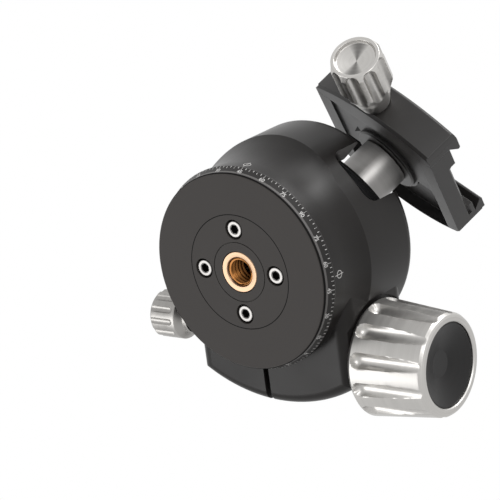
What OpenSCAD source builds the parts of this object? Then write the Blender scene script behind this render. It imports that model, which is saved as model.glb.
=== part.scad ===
// Tripod ball head with a panning base, a split clamping housing, a drop notch and a screw dovetail clamp.
// Millimetres. The origin is the centre of the base's bottom face, +Z runs up the panning axis,
// +X is the side of the main knob and +Y is the side of the housing's split boss.

/* [Base] */
// Diameter of the base disc
base_d = 66; // [64:0.5:70]
// Height of the base disc's rim and of the graduated ring on it
base_h = 4.4; // [4:0.1:5]
// Height of the plain lip below the graduated ring
lip_h = 0.95; // [0.6:0.05:1.4]
// Outer diameter of the graduated ring at its top
scale_d = 68.4; // [67.5:0.1:70]
// Diameter of the cover plate in the bottom face
cover_d = 38.4; // [36:0.2:39]
// Thickness of the cover plate
cover_h = 4.2; // [4:0.1:4.3]
// Diameter of the fine ring groove in the cover plate
groove_d = 20; // [19:0.5:21]
// Pitch circle of the cover screws
screw_pcd = 28.5; // [28:0.1:30]
// Number of cover screws
screw_count = 4; // [3:1:6]
// Diameter of the threaded insert's visible face
insert_d = 13.8; // [13:0.1:15]
// Minor diameter of the tripod thread (3/8 inch, 16 turns per inch)
thread_minor_d = 8; // [7.9:0.05:8.2]

/* [Panning] */
// Diameter of the spindle's brake rim
brake_d = 52.4; // [51:0.2:53]
// How far the brake rim stands out over the spigot that the housing turns on
brake_w = 4.7; // [4.4:0.1:5]
// Thickness of each plain bearing washer
washer_h = 0.5; // [0.4:0.1:0.6]
// Thickness of the bearing ring's flange
ring_h = 3; // [2.6:0.1:3.4]
// Sideways offset of the panning lock's axis
pan_lock_y = 22; // [21:0.1:23]
// Height of the panning lock's axis
pan_lock_z = 11; // [10.6:0.1:11.4]
// Distance of the panning knob's end from the centre
pan_knob_end = 44; // [43:0.5:48]
// Diameter of the panning knob
pan_knob_d = 15.8; // [15:0.1:16.4]
// Number of flutes on the panning knob
pan_knob_flutes = 12; // [8:1:14]

/* [Housing] */
// Radius of the housing at its sides
side_r = 35.8; // [34.8:0.1:36.8]
// Radius of the housing's rounded front
front_r = 32; // [31.4:0.1:33]
// How far the centre of the rounded front lies forward
front_shift = 5.8; // [5.4:0.1:7]
// Radius of the neck above the graduated ring
neck_r = 33.95; // [33.6:0.05:34.4]
// Height of the neck's narrowest place
neck_z = 10; // [9:0.5:11]
// Radius of the hollow sweep from neck to side
flare_r = 41; // [36:1:46]
// Height of the housing's top
top_z = 47.8; // [47.4:0.1:49]
// Rounding of the top edge
top_round = 4; // [2:0.5:4.5]
// Radius of the straight bore
bore_r = 29.7; // [29.5:0.1:30]
// Radius of the opening at the top
mouth_r = 26.7; // [26.5:0.1:27]
// Angle of the drop notch around the panning axis
notch_az = -42.6; // [-44:0.1:-40]
// Width of the drop notch
notch_w = 20.4; // [20.2:0.1:22]
// Height of the drop notch's floor
notch_z = 29.8; // [28:0.1:30]
// Radius of the notch's two lower corners
notch_corner = 5; // [3:0.5:7]

/* [Clamping boss] */
// How far the boss reaches to the side of the panning knob
boss_left = 29.5; // [28:0.5:30.5]
// How far the boss reaches to the side of the main knob
boss_right = 32.6; // [32.2:0.1:33.4]
// Depth of the round seat that the main knob sits in
knob_seat = 1.2; // [0.8:0.1:1.4]
// How far the middle of the boss reaches out
boss_reach = 48.6; // [46.6:0.1:50]
// Radius of the boss's broad outer face
boss_face_r = 57; // [50:1:70]
// Radius of the boss's upright corner on the panning lock's side
boss_corner_l = 9; // [6:0.5:10]
// Radius of the boss's upright corner on the main knob's side
boss_corner_r = 4; // [3:0.5:6]
// Rounding of the boss's edges on its broad face
boss_edge = 3.5; // [2:0.5:4]
// Rounding of the boss's edges at its two ends
boss_end_edge = 5; // [3:0.5:6]
// Height of the boss's lower face
boss_low = 9.4; // [9:0.1:10]
// Height of the boss's upper face
boss_high = 43; // [42:0.5:44]
// Width of the slit through the boss
slit_w = 2; // [1:0.1:2.5]
// Place of the slit along the main screw
slit_x = -2.2; // [-3:0.1:-1]

/* [Main knob] */
// Offset of the main screw's axis from the centre
main_y = 34.6; // [34.4:0.1:35.6]
// Height of the main screw's axis
main_z = 26.2; // [25.6:0.1:28]
// Diameter of the main screw
main_screw_d = 8; // [6:0.5:8.4]
// Diameter of the main knob at the housing
main_knob_big = 38.6; // [36:0.2:39.4]
// Diameter of the main knob's outer rim
main_knob_small = 33.5; // [31:0.1:35]
// Length of the main knob
main_knob_l = 27.1; // [24:0.1:29]
// Number of flutes on the main knob
main_knob_flutes = 12; // [8:1:14]
// Diameter of the black cap in the main knob
cap_d = 27.6; // [26:0.1:29]

/* [Ball and stem] */
// Diameter of the ball
ball_d = 55; // [54.6:0.1:55]
// Height of the ball's centre
ball_z = 39.2; // [39:0.1:39.6]
// Diameter of the stem
stem_d = 18; // [16:0.5:18]
// Diameter of the collar on the stem
collar_d = 25; // [23:0.5:25.4]
// Height of the collar
collar_h = 0.7; // [0.5:0.1:0.8]
// Direction in which the stem leans, around the panning axis
stem_az = -53; // [-55:0.5:-52]
// How far the stem leans from upright
stem_tilt = 39.3; // [34:0.1:44]
// Turn of the clamp around the stem
clamp_spin = -18.7; // [-40:0.1:0]

/* [Dovetail clamp] */
// Distance of the clamp's underside from the ball's centre
clamp_t = 36.9; // [36.7:0.1:38]
// Length of the clamp along its groove
clamp_l = 55.1; // [50:0.1:60]
// Distance from the stem's axis to the middle of the moving jaw's round side
jaw_out = 26.2; // [25.6:0.1:27]
// How far the moving jaw's side falls back towards its two ends
jaw_bow = 5.6; // [4:0.1:6]
// Distance from the stem's axis to the middle of the fixed jaw's round side
fixed_out = 27.6; // [27:0.1:28.4]
// How far the fixed jaw's side falls back towards its two ends
fixed_bow = 6; // [4:0.1:6.4]
// Distance from the stem's axis to the root of the dovetail in the moving jaw
jaw_root = 17.1; // [16.6:0.1:17.4]
// Distance from the stem's axis to the root of the dovetail in the fixed jaw
fixed_root = 18.4; // [18:0.1:19]
// Height of the jaws above the clamp's underside
jaw_h = 12.8; // [12.4:0.1:13.2]
// Height of the lands that carry a plate
land_h = 8.8; // [8.4:0.1:9]
// Height of the sunk channel between the lands
channel_h = 6.7; // [6.6:0.1:7]
// Height of the clamp screw's axis above the underside
jaw_screw_u = 4.8; // [4.6:0.1:5]
// Diameter of the clamp screw
jaw_screw_d = 5; // [4:0.5:5]
// Distance between the two guide pins
guide_gap = 34; // [30:1:38]
// Diameter of a guide pin
guide_d = 3; // [2.5:0.25:3]
// Distance of the clamp knob's end from the stem's axis
jaw_knob_end = 51.3; // [48:0.1:54]
// Largest diameter of the clamp knob
jaw_knob_d = 18; // [17:0.5:20]
// Diameter of the clamp knob's end face
jaw_knob_face_d = 16.1; // [15:0.1:17]
// Number of flutes on the clamp knob
jaw_knob_flutes = 9; // [6:1:12]

/* [Hidden] */
$fn = 96;

eps = 0.02;            // overshoot of a cut past a face
slip = 0.05;           // radial running clearance of a shaft, a spigot or the ball
seam = 0.1;            // radial gap between seated pieces
air = 0.3;             // free gap between pieces that pass each other

base_r = base_d / 2;
brake_r = brake_d / 2;
spigot_r = brake_r - brake_w;
housing_z = base_h + air;
ring_z = base_h + washer_h;
ring_top = ring_z + ring_h;
spigot_top = ring_top + washer_h;
ring_flange_w = 1.7;
ring_flange_r = bore_r + ring_flange_w;
ring_hole_r = 1.2;
ring_hole_h = 2.1;
carrier_in_r = brake_r + 2 * air;
carrier_out_r = bore_r - seam;

screw_r = 1.5;
screw_head_r = 2.75;
screw_head_h = 2.8;
screw_sink = 0.25;
screw_bore_r = 3.35;
screw_hex_r = 1.45;
insert_flange_w = 1.9;
insert_flange_r = insert_d / 2 + insert_flange_w;
insert_flange_h = 1.4;
insert_h = spigot_top - 0.2;
groove_w = 0.3;
step_in = 2.5;         // width of the shoulder that the graduated ring sits on

ball_r = ball_d / 2;
seat_r = ball_r + slip;
spindle_h = 4;
spindle_top = spigot_top + spindle_h;
spindle_rim = 3;
spindle_dish_r = 9;
spindle_dish_z = ball_z - ball_r - 0.7;
spring_h = 1.2;
spring_t = 0.6;
spring_r_in = 23;
carrier_h = 1.4;
carrier_top = spindle_top + carrier_h;
seat_low_z = carrier_top + spring_h;
seat_low_h = 8.5;
seat_low_top = seat_low_z + seat_low_h;
seat_low_r = 15;
seat_lip_h = 1;
seat_up_h = 5.5;
seat_up_top = top_z - seat_lip_h;
seat_up_low = seat_up_top - seat_up_h;
seat_up_r = mouth_r - seat_lip_h;

pan_screw_r = 2.5;
shoe_r = 2.7;
shoe_tail_x = boss_left - 8;
shoe_room = 1.2;
pan_pad_r = 5.2;
pan_knob_gap = 0.8;
pan_flute_r = 1.3;
pan_flute_at = pan_knob_d / 2 + 0.6;
pan_flute_in = 5.4;
pan_dish_h = 2.4;
pan_edge = 0.9;
pan_flare_h = 3.2;
pan_shoulder = 2.4;
pan_shoulder_h = 1.4;
pan_screw_out = 4;

boss_face_x = 2;
boss_face_y = boss_reach - boss_face_r;
main_r = main_screw_d / 2;
main_washer_h = 0.5;
main_seat_x = boss_right - knob_seat;
main_knob_x = main_seat_x + main_washer_h + seam;
main_knob_out = main_knob_x + main_knob_l;
main_screw_in = boss_left - 5;
main_knob_air = 0.8;
main_washer_w = 6;
main_washer_r = main_r + main_washer_w;
cap_sink = 0.8;
cap_h = 2.8;
cap_room = 5.6;
cap_screw_r = 1.6;
cap_screw_head_r = 3.4;
cap_screw_head_h = 0.7;
cap_screw_l = 9;
main_flute_r = 2.6;
main_flute_at = main_knob_small / 2 + 2.3;
main_flute_in = 4.4;
main_flute_turn = 13;

stem_root_t = 12;
ball_flat = 5.8;        // depth of the flat on the ball around the stem's foot
ball_flat_t = ball_r - ball_flat;
stem_sink = 1;
stem_shoulder_t = ball_flat_t - stem_sink;
under_step = 0.8;       // depth of the shallow step in the clamp's underside
collar_t = clamp_t - collar_h;
stem_root_r = stem_d / 2 - 2;
stem_edge = 0.4;

half_l = clamp_l / 2;
jaw_split = jaw_root + 0.05;
dovetail_rise = jaw_h - land_h - 0.9;
land_in = 9.6;
land_w = 5;
bolt_r = 3;
bolt_head_r = 5;
bolt_head_h = 3.4;
pocket_h = 4.2;
rim_w = 5.8;             // width of the plain rim at the clamp's two ends
recess_in = 3.7;         // how far the deep recess stays from the stem's axis
step_rim = 6.4;
pocket_wall = 0.9;
pad_r = 13.4;
jaw_knob_gap = 0.6;
jaw_flute_r = 2.3;
jaw_flute_at = jaw_knob_d / 2 + 0.3;
jaw_flute_in = 5;
jaw_flute_out = 2.2;
jaw_flute_turn = 36;
jaw_washer_r = 4.6;
jaw_washer_h = 0.5;
jaw_screw_in = 6;
jaw_screw_out = 6;
jaw_neck = 4.1;          // how much slimmer the knob is at the jaw
jaw_shoulder = 1.9;
jaw_shoulder_h = 7.2;
jaw_barrel_h = 11.2;
jaw_end_h = 2.3;
jaw_dish_rim = 1.2;
jaw_dish_h = 2.2;
guide_u = 4;
guide_in = 6;
guide_end = jaw_out - jaw_bow - 0.6;
spring_in = 10;
spring_r = guide_d / 2 + 0.9;
spring_wall = 0.6;
bolt_hex_r = 2.6;
bolt_top = channel_h - 0.5;
bolt_reach = 12;
edge = 0.8;            // chamfer of the clamp's long edges
jaw_edge_low = 1;      // chamfer along the lower edge of the moving jaw's side
corner_cut = 2;        // width of the chamfers at the clamp's four corners

// ---------------------------------------------------------------- helpers

// Ring or disc about Z between two heights
module ring(r_out, r_in, z_low, z_high) {
    translate([0, 0, z_low]) difference() {
        cylinder(r = r_out, h = z_high - z_low);
        if (r_in > 0) translate([0, 0, -eps]) cylinder(r = r_in, h = z_high - z_low + 2 * eps);
    }
}

// Round bar along X between two places
module bar_x(r, x_low, x_high, y, z) {
    translate([x_low, y, z]) rotate([0, 90, 0]) cylinder(r = r, h = x_high - x_low);
}

// A profile of [radius, distance along the axis] points turned about the X axis
module turned_x(points, y, z) {
    translate([0, y, z]) rotate([0, 90, 0]) rotate_extrude() polygon(points);
}

// Copies around Z
module around(count, r, start = 0) {
    for (i = [0 : count - 1]) rotate([0, 0, start + i * 360 / count]) translate([r, 0, 0]) children();
}

// The stem's own frame: Z up the stem from the ball's centre
module on_stem() {
    translate([0, 0, ball_z]) rotate([0, 0, stem_az]) rotate([0, stem_tilt, 0]) children();
}

// The clamp's frame: X towards the clamp knob, Y along the groove, Z from the underside up
module on_clamp() {
    on_stem() rotate([0, 0, clamp_spin]) translate([0, 0, clamp_t]) children();
}

// An outline in the clamp's X and Z, drawn along its groove
module along_groove(length) {
    translate([0, length / 2, 0]) rotate([90, 0, 0]) linear_extrude(length) children();
}

// Socket head cap screw, head down, standing on Z
module cap_screw(r, length) {
    difference() {
        union() {
            cylinder(r = screw_head_r, h = screw_head_h);
            cylinder(r = r, h = screw_head_h + length);
        }
        translate([0, 0, -eps]) cylinder(r = screw_hex_r, h = screw_head_h * 0.6, $fn = 6);
    }
}

// Straight flutes around Z, cut from a ball end upwards
module flutes(count, r, at, z_low, length, start = 0) {
    around(count, at, start) translate([0, 0, z_low]) {
        cylinder(r = r, h = length, $fn = 32);
        sphere(r = r, $fn = 32);
    }
}

// ---------------------------------------------------------------- base, fixed to the tripod

module base_disc() color([0.24, 0.235, 0.23]) difference() {
    rotate_extrude() polygon([[0, 0], [base_r - 0.5, 0], [base_r, 0.5], [base_r, lip_h],
        [base_r - step_in, lip_h], [base_r - step_in, base_h], [spigot_r, base_h],
        [spigot_r, spigot_top], [0, spigot_top]]);
    translate([0, 0, -eps]) cylinder(r = cover_d / 2 + seam, h = cover_h + eps);
    translate([0, 0, -eps]) cylinder(r = insert_d / 2 + seam, h = spigot_top + 2 * eps);
    translate([0, 0, cover_h - eps]) cylinder(r = insert_flange_r + seam, h = insert_flange_h + eps);
    around(screw_count, screw_pcd / 2)
        translate([0, 0, -eps]) cylinder(r = screw_r + seam, h = spigot_top + 1);
}

module scale_ring() color([0.2, 0.2, 0.2])
    rotate_extrude() polygon([[base_r - step_in + seam, lip_h], [base_r - 0.1, lip_h],
        [scale_d / 2, base_h - 0.4], [scale_d / 2, base_h], [base_r - step_in + seam, base_h]]);

module cover_plate() color([0.24, 0.235, 0.23]) difference() {
    cylinder(r = cover_d / 2, h = cover_h);
    translate([0, 0, -eps]) cylinder(r = insert_d / 2 + seam, h = cover_h + 1);
    ring((groove_d + groove_w) / 2, (groove_d - groove_w) / 2, -eps, groove_w);
    around(screw_count, screw_pcd / 2) {
        translate([0, 0, -eps]) cylinder(r = screw_bore_r, h = screw_sink + screw_head_h + eps);
        translate([0, 0, -eps]) cylinder(r = screw_r + seam, h = cover_h + 1);
    }
}

module thread_insert() color([0.85, 0.62, 0.42]) difference() {
    rotate_extrude() polygon([[0, 0], [insert_d / 2, 0], [insert_d / 2, cover_h], [insert_flange_r, cover_h],
        [insert_flange_r, cover_h + insert_flange_h], [insert_d / 2, cover_h + insert_flange_h],
        [insert_d / 2, insert_h], [0, insert_h]]);
    translate([0, 0, -eps]) cylinder(r = thread_minor_d / 2, h = insert_h + 1);
}

module cover_screws() color([0.8, 0.8, 0.8])
    around(screw_count, screw_pcd / 2) translate([0, 0, screw_sink])
        cap_screw(screw_r, spindle_top - 1 - screw_sink - screw_head_h);

module pan_spindle() color([0.7, 0.7, 0.72]) difference() {
    rotate_extrude() polygon([[0, spigot_top], [brake_r, spigot_top], [brake_r, spindle_top],
        [spigot_r - spindle_rim, spindle_top], [spindle_dish_r, spindle_dish_z], [0, spindle_dish_z]]);
    around(screw_count, screw_pcd / 2) translate([0, 0, spigot_top - eps])
        cylinder(r = screw_r + 0.02, h = spindle_top - spigot_top + 1);
}

module lower_pan_washer() color([0.9, 0.88, 0.8])
    ring(ring_flange_r - 1, spigot_r + air, base_h, base_h + washer_h);

module upper_pan_washer() color([0.9, 0.88, 0.8])
    ring(brake_r - 2 * air, spigot_r + air, ring_top, ring_top + washer_h - slip);

// ---------------------------------------------------------------- turning housing and what it holds

module bearing_ring() color([0.62, 0.62, 0.64]) difference() {
    union() {
        ring(ring_flange_r, spigot_r + slip, ring_z + slip, ring_top);
        ring(carrier_out_r, carrier_in_r, ring_top - eps, carrier_top);
    }
    bar_x(shoe_r + air, -bore_r - 2, 0, pan_lock_y, pan_lock_z);
    around(4, (ring_flange_r + spigot_r) / 2, 45)
        translate([0, 0, ring_z - eps]) cylinder(r = ring_hole_r, h = ring_hole_h);
}

module pan_brake_shoe() color([0.75, 0.6, 0.35]) difference() {
    bar_x(shoe_r, -shoe_tail_x, 0, pan_lock_y, pan_lock_z);
    translate([0, 0, pan_lock_z - shoe_r - 1]) cylinder(r = brake_r + slip, h = 2 * shoe_r + 2);
    translate([-brake_r, pan_lock_y + shoe_r - 0.8, 0]) cube([brake_r + 1, shoe_r, 30]);
}

module pan_lock_screw() color([0.6, 0.6, 0.6])
    bar_x(pan_screw_r, -pan_knob_end + pan_screw_out, -shoe_tail_x, pan_lock_y, pan_lock_z);

module pan_lock_knob() color([0.82, 0.82, 0.83]) difference() {
    r = pan_knob_d / 2;
    inner = -boss_left - pan_knob_gap;
    turned_x([[0, -pan_knob_end], [r - pan_edge, -pan_knob_end], [r, -pan_knob_end + pan_edge],
        [r, inner - pan_flare_h], [r - pan_shoulder, inner - pan_shoulder_h], [r - pan_shoulder, inner],
        [0, inner]], pan_lock_y, pan_lock_z);
    bar_x(pan_screw_r, -pan_knob_end + pan_screw_out, inner + 1, pan_lock_y, pan_lock_z);
    translate([0, pan_lock_y, pan_lock_z]) rotate([0, -90, 0])
        flutes(pan_knob_flutes, pan_flute_r, pan_flute_at, -inner + pan_flute_in, pan_knob_end + inner);
    translate([-pan_knob_end - 1, pan_lock_y, pan_lock_z]) rotate([0, 90, 0])
        cylinder(r1 = r - pan_edge, r2 = 0, h = pan_dish_h);
}

// Plan of the housing: side circle and front circle joined by their common tangents
module plan() {
    slope = asin((side_r - front_r) / front_shift);
    side_at = [side_r * cos(slope), -side_r * sin(slope)];
    front_at = [front_r * cos(slope), -front_shift - front_r * sin(slope)];
    circle(r = side_r, $fn = 180);
    translate([0, -front_shift]) circle(r = front_r, $fn = 180);
    polygon([side_at, front_at, [-front_at[0], front_at[1]], [-side_at[0], side_at[1]]]);
}

// Barrel with its plan, hollow sweep below and rounded top
module barrel() intersection() {
    difference() {
        translate([0, 0, housing_z]) linear_extrude(top_z - housing_z) plan();
        rotate_extrude($fn = 180) translate([neck_r + flare_r, neck_z]) circle(r = flare_r, $fn = 180);
        ring(side_r + 20, neck_r, 0, neck_z);
    }
    union() {
        translate([0, -front_shift, 0]) rotate_extrude($fn = 180) rounded_section(front_r);
        rotate_extrude($fn = 180) rounded_section(side_r);
        barrel_bridge();
    }
}

// Half section of the barrel, with its rounded top edge
module rounded_section(r) {
    square([r - top_round, top_z]);
    square([r, top_z - top_round]);
    translate([r - top_round, top_z - top_round]) intersection() {
        circle(r = top_round);
        square(top_round);
    }
}

// Fills the plan between the two round parts, with the same rounding along its two straight sides
module barrel_bridge() {
    slope = asin((side_r - front_r) / front_shift);
    length = front_shift * cos(slope);
    for (side = [0, 1]) mirror([side, 0, 0]) rotate([0, 0, -slope]) rotate([90, 0, 0])
        linear_extrude(length) rounded_section(side_r);
}

// Split boss: a broad round face, flat ends and rounded edges
module boss() {
    height = boss_high - boss_low;
    intersection() {
        translate([boss_face_x, boss_face_y, boss_low]) rotate_extrude($fn = 180) {
            square([boss_face_r - boss_edge, height]);
            translate([0, boss_edge]) square([boss_face_r, height - 2 * boss_edge]);
            translate([boss_face_r - boss_edge, boss_edge]) circle(r = boss_edge);
            translate([boss_face_r - boss_edge, height - boss_edge]) circle(r = boss_edge);
        }
        translate([0, boss_reach + 1, 0]) rotate([90, 0, 0]) linear_extrude(boss_reach + 1)
            rounded_outline(-boss_left, boss_right, boss_low, boss_high, boss_end_edge);
        linear_extrude(top_z) boss_plan();
    }
}

// Rectangle with round corners
module rounded_outline(x_low, x_high, y_low, y_high, r) {
    translate([x_low + r, y_low]) square([x_high - x_low - 2 * r, y_high - y_low]);
    translate([x_low, y_low + r]) square([x_high - x_low, y_high - y_low - 2 * r]);
    for (x = [x_low + r, x_high - r], y = [y_low + r, y_high - r]) translate([x, y]) circle(r = r);
}

// Plan of the boss: its two upright corners are round and run smoothly into the broad face
module boss_plan() {
    left = boss_corner_at(-boss_left + boss_corner_l, boss_corner_l);
    right = boss_corner_at(boss_right - boss_corner_r, boss_corner_r);
    translate([-boss_left, 0]) square([boss_left + boss_right, min(left[1], right[1])]);
    translate([-boss_left, 0]) square([boss_left, left[1]]);
    translate(left) circle(r = boss_corner_l);
    translate(right) circle(r = boss_corner_r);
    polygon([[boss_face_x, boss_face_y], boss_touch(left, boss_corner_l), boss_touch(right, boss_corner_r)]);
}

// Centre of a corner circle that touches the broad face from inside
function boss_corner_at(x, r) = [x, boss_face_y + sqrt(pow(boss_face_r - r, 2) - pow(x - boss_face_x, 2))];

// A point well outside the broad face, straight out through a corner circle's centre
function boss_touch(at, r) = [boss_face_x, boss_face_y]
    + (at - [boss_face_x, boss_face_y]) * (boss_face_r * 1.5 / (boss_face_r - r));

// Outline of the drop notch, seen along its direction
module notch_outline() {
    corner = notch_corner;
    translate([-notch_w / 2 + corner, notch_z]) square([notch_w - 2 * corner, top_z]);
    translate([-notch_w / 2, notch_z + corner]) square([notch_w, top_z]);
    for (side = [-1, 1]) translate([side * (notch_w / 2 - corner), notch_z + corner]) circle(r = corner);
}

// Drop notch from the ball's hollow out through the wall
module notch() {
    rotate([0, 0, notch_az + 90]) rotate([90, 0, 0]) linear_extrude(2 * side_r) notch_outline();
}

module slit() {
    translate([slit_x - slit_w / 2, bore_r - 8, boss_low - 1]) cube([slit_w, boss_reach, top_z]);
}

module housing() color([0.19, 0.185, 0.18]) difference() {
    union() {
        barrel();
        boss();
        bar_x(pan_pad_r, -boss_left + 0.8, 0, pan_lock_y, pan_lock_z);
    }
    translate([0, 0, -1]) cylinder(r = bore_r, h = seat_up_top + 1, $fn = 180);
    translate([0, 0, -1]) cylinder(r = mouth_r, h = top_z + 2, $fn = 180);
    translate([0, 0, -1]) cylinder(r = ring_flange_r + seam, h = ring_top + 1 + slip, $fn = 180);
    notch();
    slit();
    bar_x(main_r + slip, -main_screw_in - 1.5, boss_right + 1, main_y, main_z);
    bar_x(main_knob_big / 2 + main_knob_air, main_seat_x, side_r + 5, main_y, main_z);
    bar_x(pan_screw_r + slip, -boss_left - 1, -shoe_tail_x, pan_lock_y, pan_lock_z);
    bar_x(shoe_r + slip, -shoe_tail_x - shoe_room, 0, pan_lock_y, pan_lock_z);
}

module lower_ball_seat() color([0.88, 0.86, 0.78]) difference() {
    ring(carrier_out_r, seat_low_r, seat_low_z, seat_low_top);
    translate([0, 0, ball_z]) sphere(r = seat_r, $fn = 180);
}

module upper_ball_seat() color([0.88, 0.86, 0.78]) difference() {
    ring(carrier_out_r, seat_up_r, seat_up_low, seat_up_top);
    translate([0, 0, ball_z]) sphere(r = seat_r, $fn = 180);
    notch();
    slit();
}

module seat_spring() color([0.6, 0.6, 0.6])
    rotate_extrude() polygon([[carrier_out_r - air, carrier_top],
        [carrier_out_r - air, carrier_top + spring_t], [spring_r_in + 0.5, seat_low_z],
        [spring_r_in, seat_low_z], [spring_r_in, seat_low_z - spring_t]]);

module main_knob_washer() color([0.75, 0.75, 0.75]) difference() {
    bar_x(main_washer_r, main_seat_x, main_seat_x + main_washer_h, main_y, main_z);
    bar_x(main_r + slip, main_seat_x - 1, main_seat_x + 3, main_y, main_z);
}

// ---------------------------------------------------------------- main clamping knob

module main_screw() color([0.6, 0.6, 0.6]) difference() {
    bar_x(main_r, -main_screw_in, main_knob_out - cap_room, main_y, main_z);
    bar_x(cap_screw_r + slip, main_knob_out - cap_room - cap_screw_l - 1, main_knob_out, main_y, main_z);
}

module main_knob() color([0.82, 0.82, 0.83]) difference() {
    big = main_knob_big / 2;
    small = main_knob_small / 2;
    out = main_knob_out;
    turned_x([[0, main_knob_x], [big - 1.2, main_knob_x], [big, main_knob_x + 1.4],
        [small + 0.15, out - 1.4], [small - 0.5, out - 0.4], [small - 1.2, out], [0, out]], main_y, main_z);
    bar_x(cap_d / 2 + seam, out - cap_room, out + 1, main_y, main_z);
    bar_x(main_r, main_knob_x - 1, out, main_y, main_z);
    translate([0, main_y, main_z]) rotate([0, 90, 0])
        flutes(main_knob_flutes, main_flute_r, main_flute_at, main_knob_x + main_flute_in, main_knob_l,
            main_flute_turn);
}

module main_knob_cap() color([0.1, 0.1, 0.1]) {
    out = main_knob_out - cap_sink;
    turned_x([[0, out - cap_h - 1.2], [3, out - cap_h - 1.2], [cap_d / 2, out - cap_h], [cap_d / 2, out],
        [cap_d / 2 - 1.2, out], [3.6, out - cap_h], [0, out - cap_h]], main_y, main_z);
}

module main_knob_bolt() color([0.5, 0.5, 0.5]) {
    head_x = main_knob_out - cap_room;
    difference() {
        union() {
            bar_x(cap_screw_head_r, head_x, head_x + cap_screw_head_h, main_y, main_z);
            bar_x(cap_screw_r, head_x - cap_screw_l, head_x + cap_screw_head_h, main_y, main_z);
        }
        translate([head_x + 0.2, main_y, main_z]) rotate([0, 90, 0]) cylinder(r = 1.2, h = 2, $fn = 6);
    }
}

// ---------------------------------------------------------------- ball, stem and dovetail clamp

module ball() color([0.16, 0.16, 0.17]) difference() {
    translate([0, 0, ball_z]) sphere(r = ball_r, $fn = 180);
    on_stem() translate([0, 0, ball_flat_t]) cylinder(r = ball_r, h = ball_r);
    on_stem() translate([0, 0, stem_shoulder_t]) cylinder(r = stem_d / 2 + slip, h = ball_r);
    on_stem() translate([0, 0, stem_root_t]) cylinder(r = stem_root_r + slip, h = ball_r);
}

module stem() color([0.85, 0.85, 0.87]) on_stem() difference() {
    rotate_extrude() polygon([[0, stem_root_t + slip], [stem_root_r, stem_root_t + slip],
        [stem_root_r, stem_shoulder_t + slip], [stem_d / 2, stem_shoulder_t + slip],
        [stem_d / 2, collar_t - stem_edge], [stem_d / 2 - stem_edge, collar_t], [0, collar_t]]);
    translate([0, 0, collar_t - bolt_reach - 1]) cylinder(r = bolt_r, h = 20);
}

module stem_collar() color([0.13, 0.13, 0.13]) on_stem() difference() {
    rotate_extrude() polygon([[0, collar_t], [collar_d / 2 - 0.5, collar_t], [collar_d / 2, collar_t + 0.5],
        [collar_d / 2, clamp_t + under_step], [0, clamp_t + under_step]]);
    translate([0, 0, collar_t - 1]) cylinder(r = bolt_r + seam, h = collar_h + under_step + 2);
}

// Section of the clamp body: base, lands, channel and fixed jaw
module body_section() polygon([[jaw_split, 0], [jaw_split, land_h], [land_in, land_h], [land_in, channel_h],
    [-fixed_root + land_w, channel_h], [-fixed_root + land_w, land_h], [-fixed_root, land_h],
    [-fixed_root + dovetail_rise, land_h + dovetail_rise], [-fixed_root + dovetail_rise, jaw_h - 0.4],
    [-fixed_root + dovetail_rise - 0.4, jaw_h], [-fixed_out, jaw_h], [-fixed_out, 0]]);

// Radius of a round side that falls back by `bow` towards the clamp's two ends
function bow_radius(bow) = (half_l * half_l + bow * bow) / (2 * bow);

// Disc with chamfered rims: its edge is the broad round side of a jaw
module round_side(out, bow, low_edge) {
    r = bow_radius(bow);
    translate([out - r, 0, 0]) rotate_extrude($fn = 180) polygon([[0, 0], [r - low_edge, 0], [r, low_edge],
        [r, jaw_h - edge], [r - edge, jaw_h], [0, jaw_h]]);
}

// Chamfers on the two upright corners of a jaw
module corner_chamfers(x) for (side = [-1, 1])
    translate([x, side * half_l, 0]) rotate([0, 0, 45])
        cube([corner_cut, corner_cut, 3 * jaw_h], center = true);

module clamp_body() color([0.17, 0.165, 0.16]) on_clamp() difference() {
    intersection() {
        along_groove(clamp_l) body_section();
        rotate([0, 0, 180]) round_side(fixed_out, fixed_bow, edge);
    }
    corner_chamfers(-fixed_out + fixed_bow);
    underside_recess();
    underside_step();
    cylinder(r = bolt_r + seam, h = 30, center = true);
    translate([0, 0, bolt_top - bolt_head_h]) cylinder(r = bolt_head_r + seam, h = 20);
    translate([jaw_screw_in, 0, jaw_screw_u]) rotate([0, 90, 0]) cylinder(r = jaw_screw_d / 2 + slip, h = 30);
    for (side = [-1, 1]) translate([0, side * guide_gap / 2, guide_u]) rotate([0, 90, 0]) {
        translate([0, 0, guide_in]) cylinder(r = guide_d / 2 + slip, h = 30);
        translate([0, 0, spring_in]) cylinder(r = spring_r + seam, h = 30);
    }
    for (side = [-1, 1]) channel_slope(side);
}

// Deep recess in the clamp's underside, around the stem's pad and out to a thin wall along the round side
module underside_recess() difference() {
    intersection() {
        translate([-fixed_out, -half_l + rim_w, -eps])
            cube([fixed_out - recess_in, clamp_l - 2 * rim_w, pocket_h]);
        translate([bow_radius(fixed_bow) - fixed_out, 0, -1])
            cylinder(r = bow_radius(fixed_bow) - pocket_wall, h = 2 * pocket_h, $fn = 180);
    }
    cylinder(r = pad_r, h = pocket_h * 3, center = true);
}

// Shallow step in the underside, which the stem's collar sits in
module underside_step() {
    translate([-recess_in - 1, -half_l + step_rim, -eps])
        cube([recess_in + 1 + jaw_split + 1, clamp_l - 2 * step_rim, under_step + eps]);
    translate([0, 0, -eps]) cylinder(r = pad_r, h = under_step + eps);
}

// Chamfer at both ends of the sunk channel
module channel_slope(side) translate([-4.2, side * half_l, channel_h]) rotate([45, 0, 0])
    cube([27, 1.2, 1.2], center = true);

module clamp_bolt() color([0.55, 0.55, 0.55]) on_clamp() difference() {
    union() {
        translate([0, 0, bolt_top - bolt_head_h]) cylinder(r = bolt_head_r, h = bolt_head_h);
        translate([0, 0, -collar_h - bolt_reach])
            cylinder(r = bolt_r, h = collar_h + bolt_reach + bolt_top - 1);
    }
    translate([0, 0, bolt_top - 2]) cylinder(r = bolt_hex_r, h = 3, $fn = 6);
}

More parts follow.
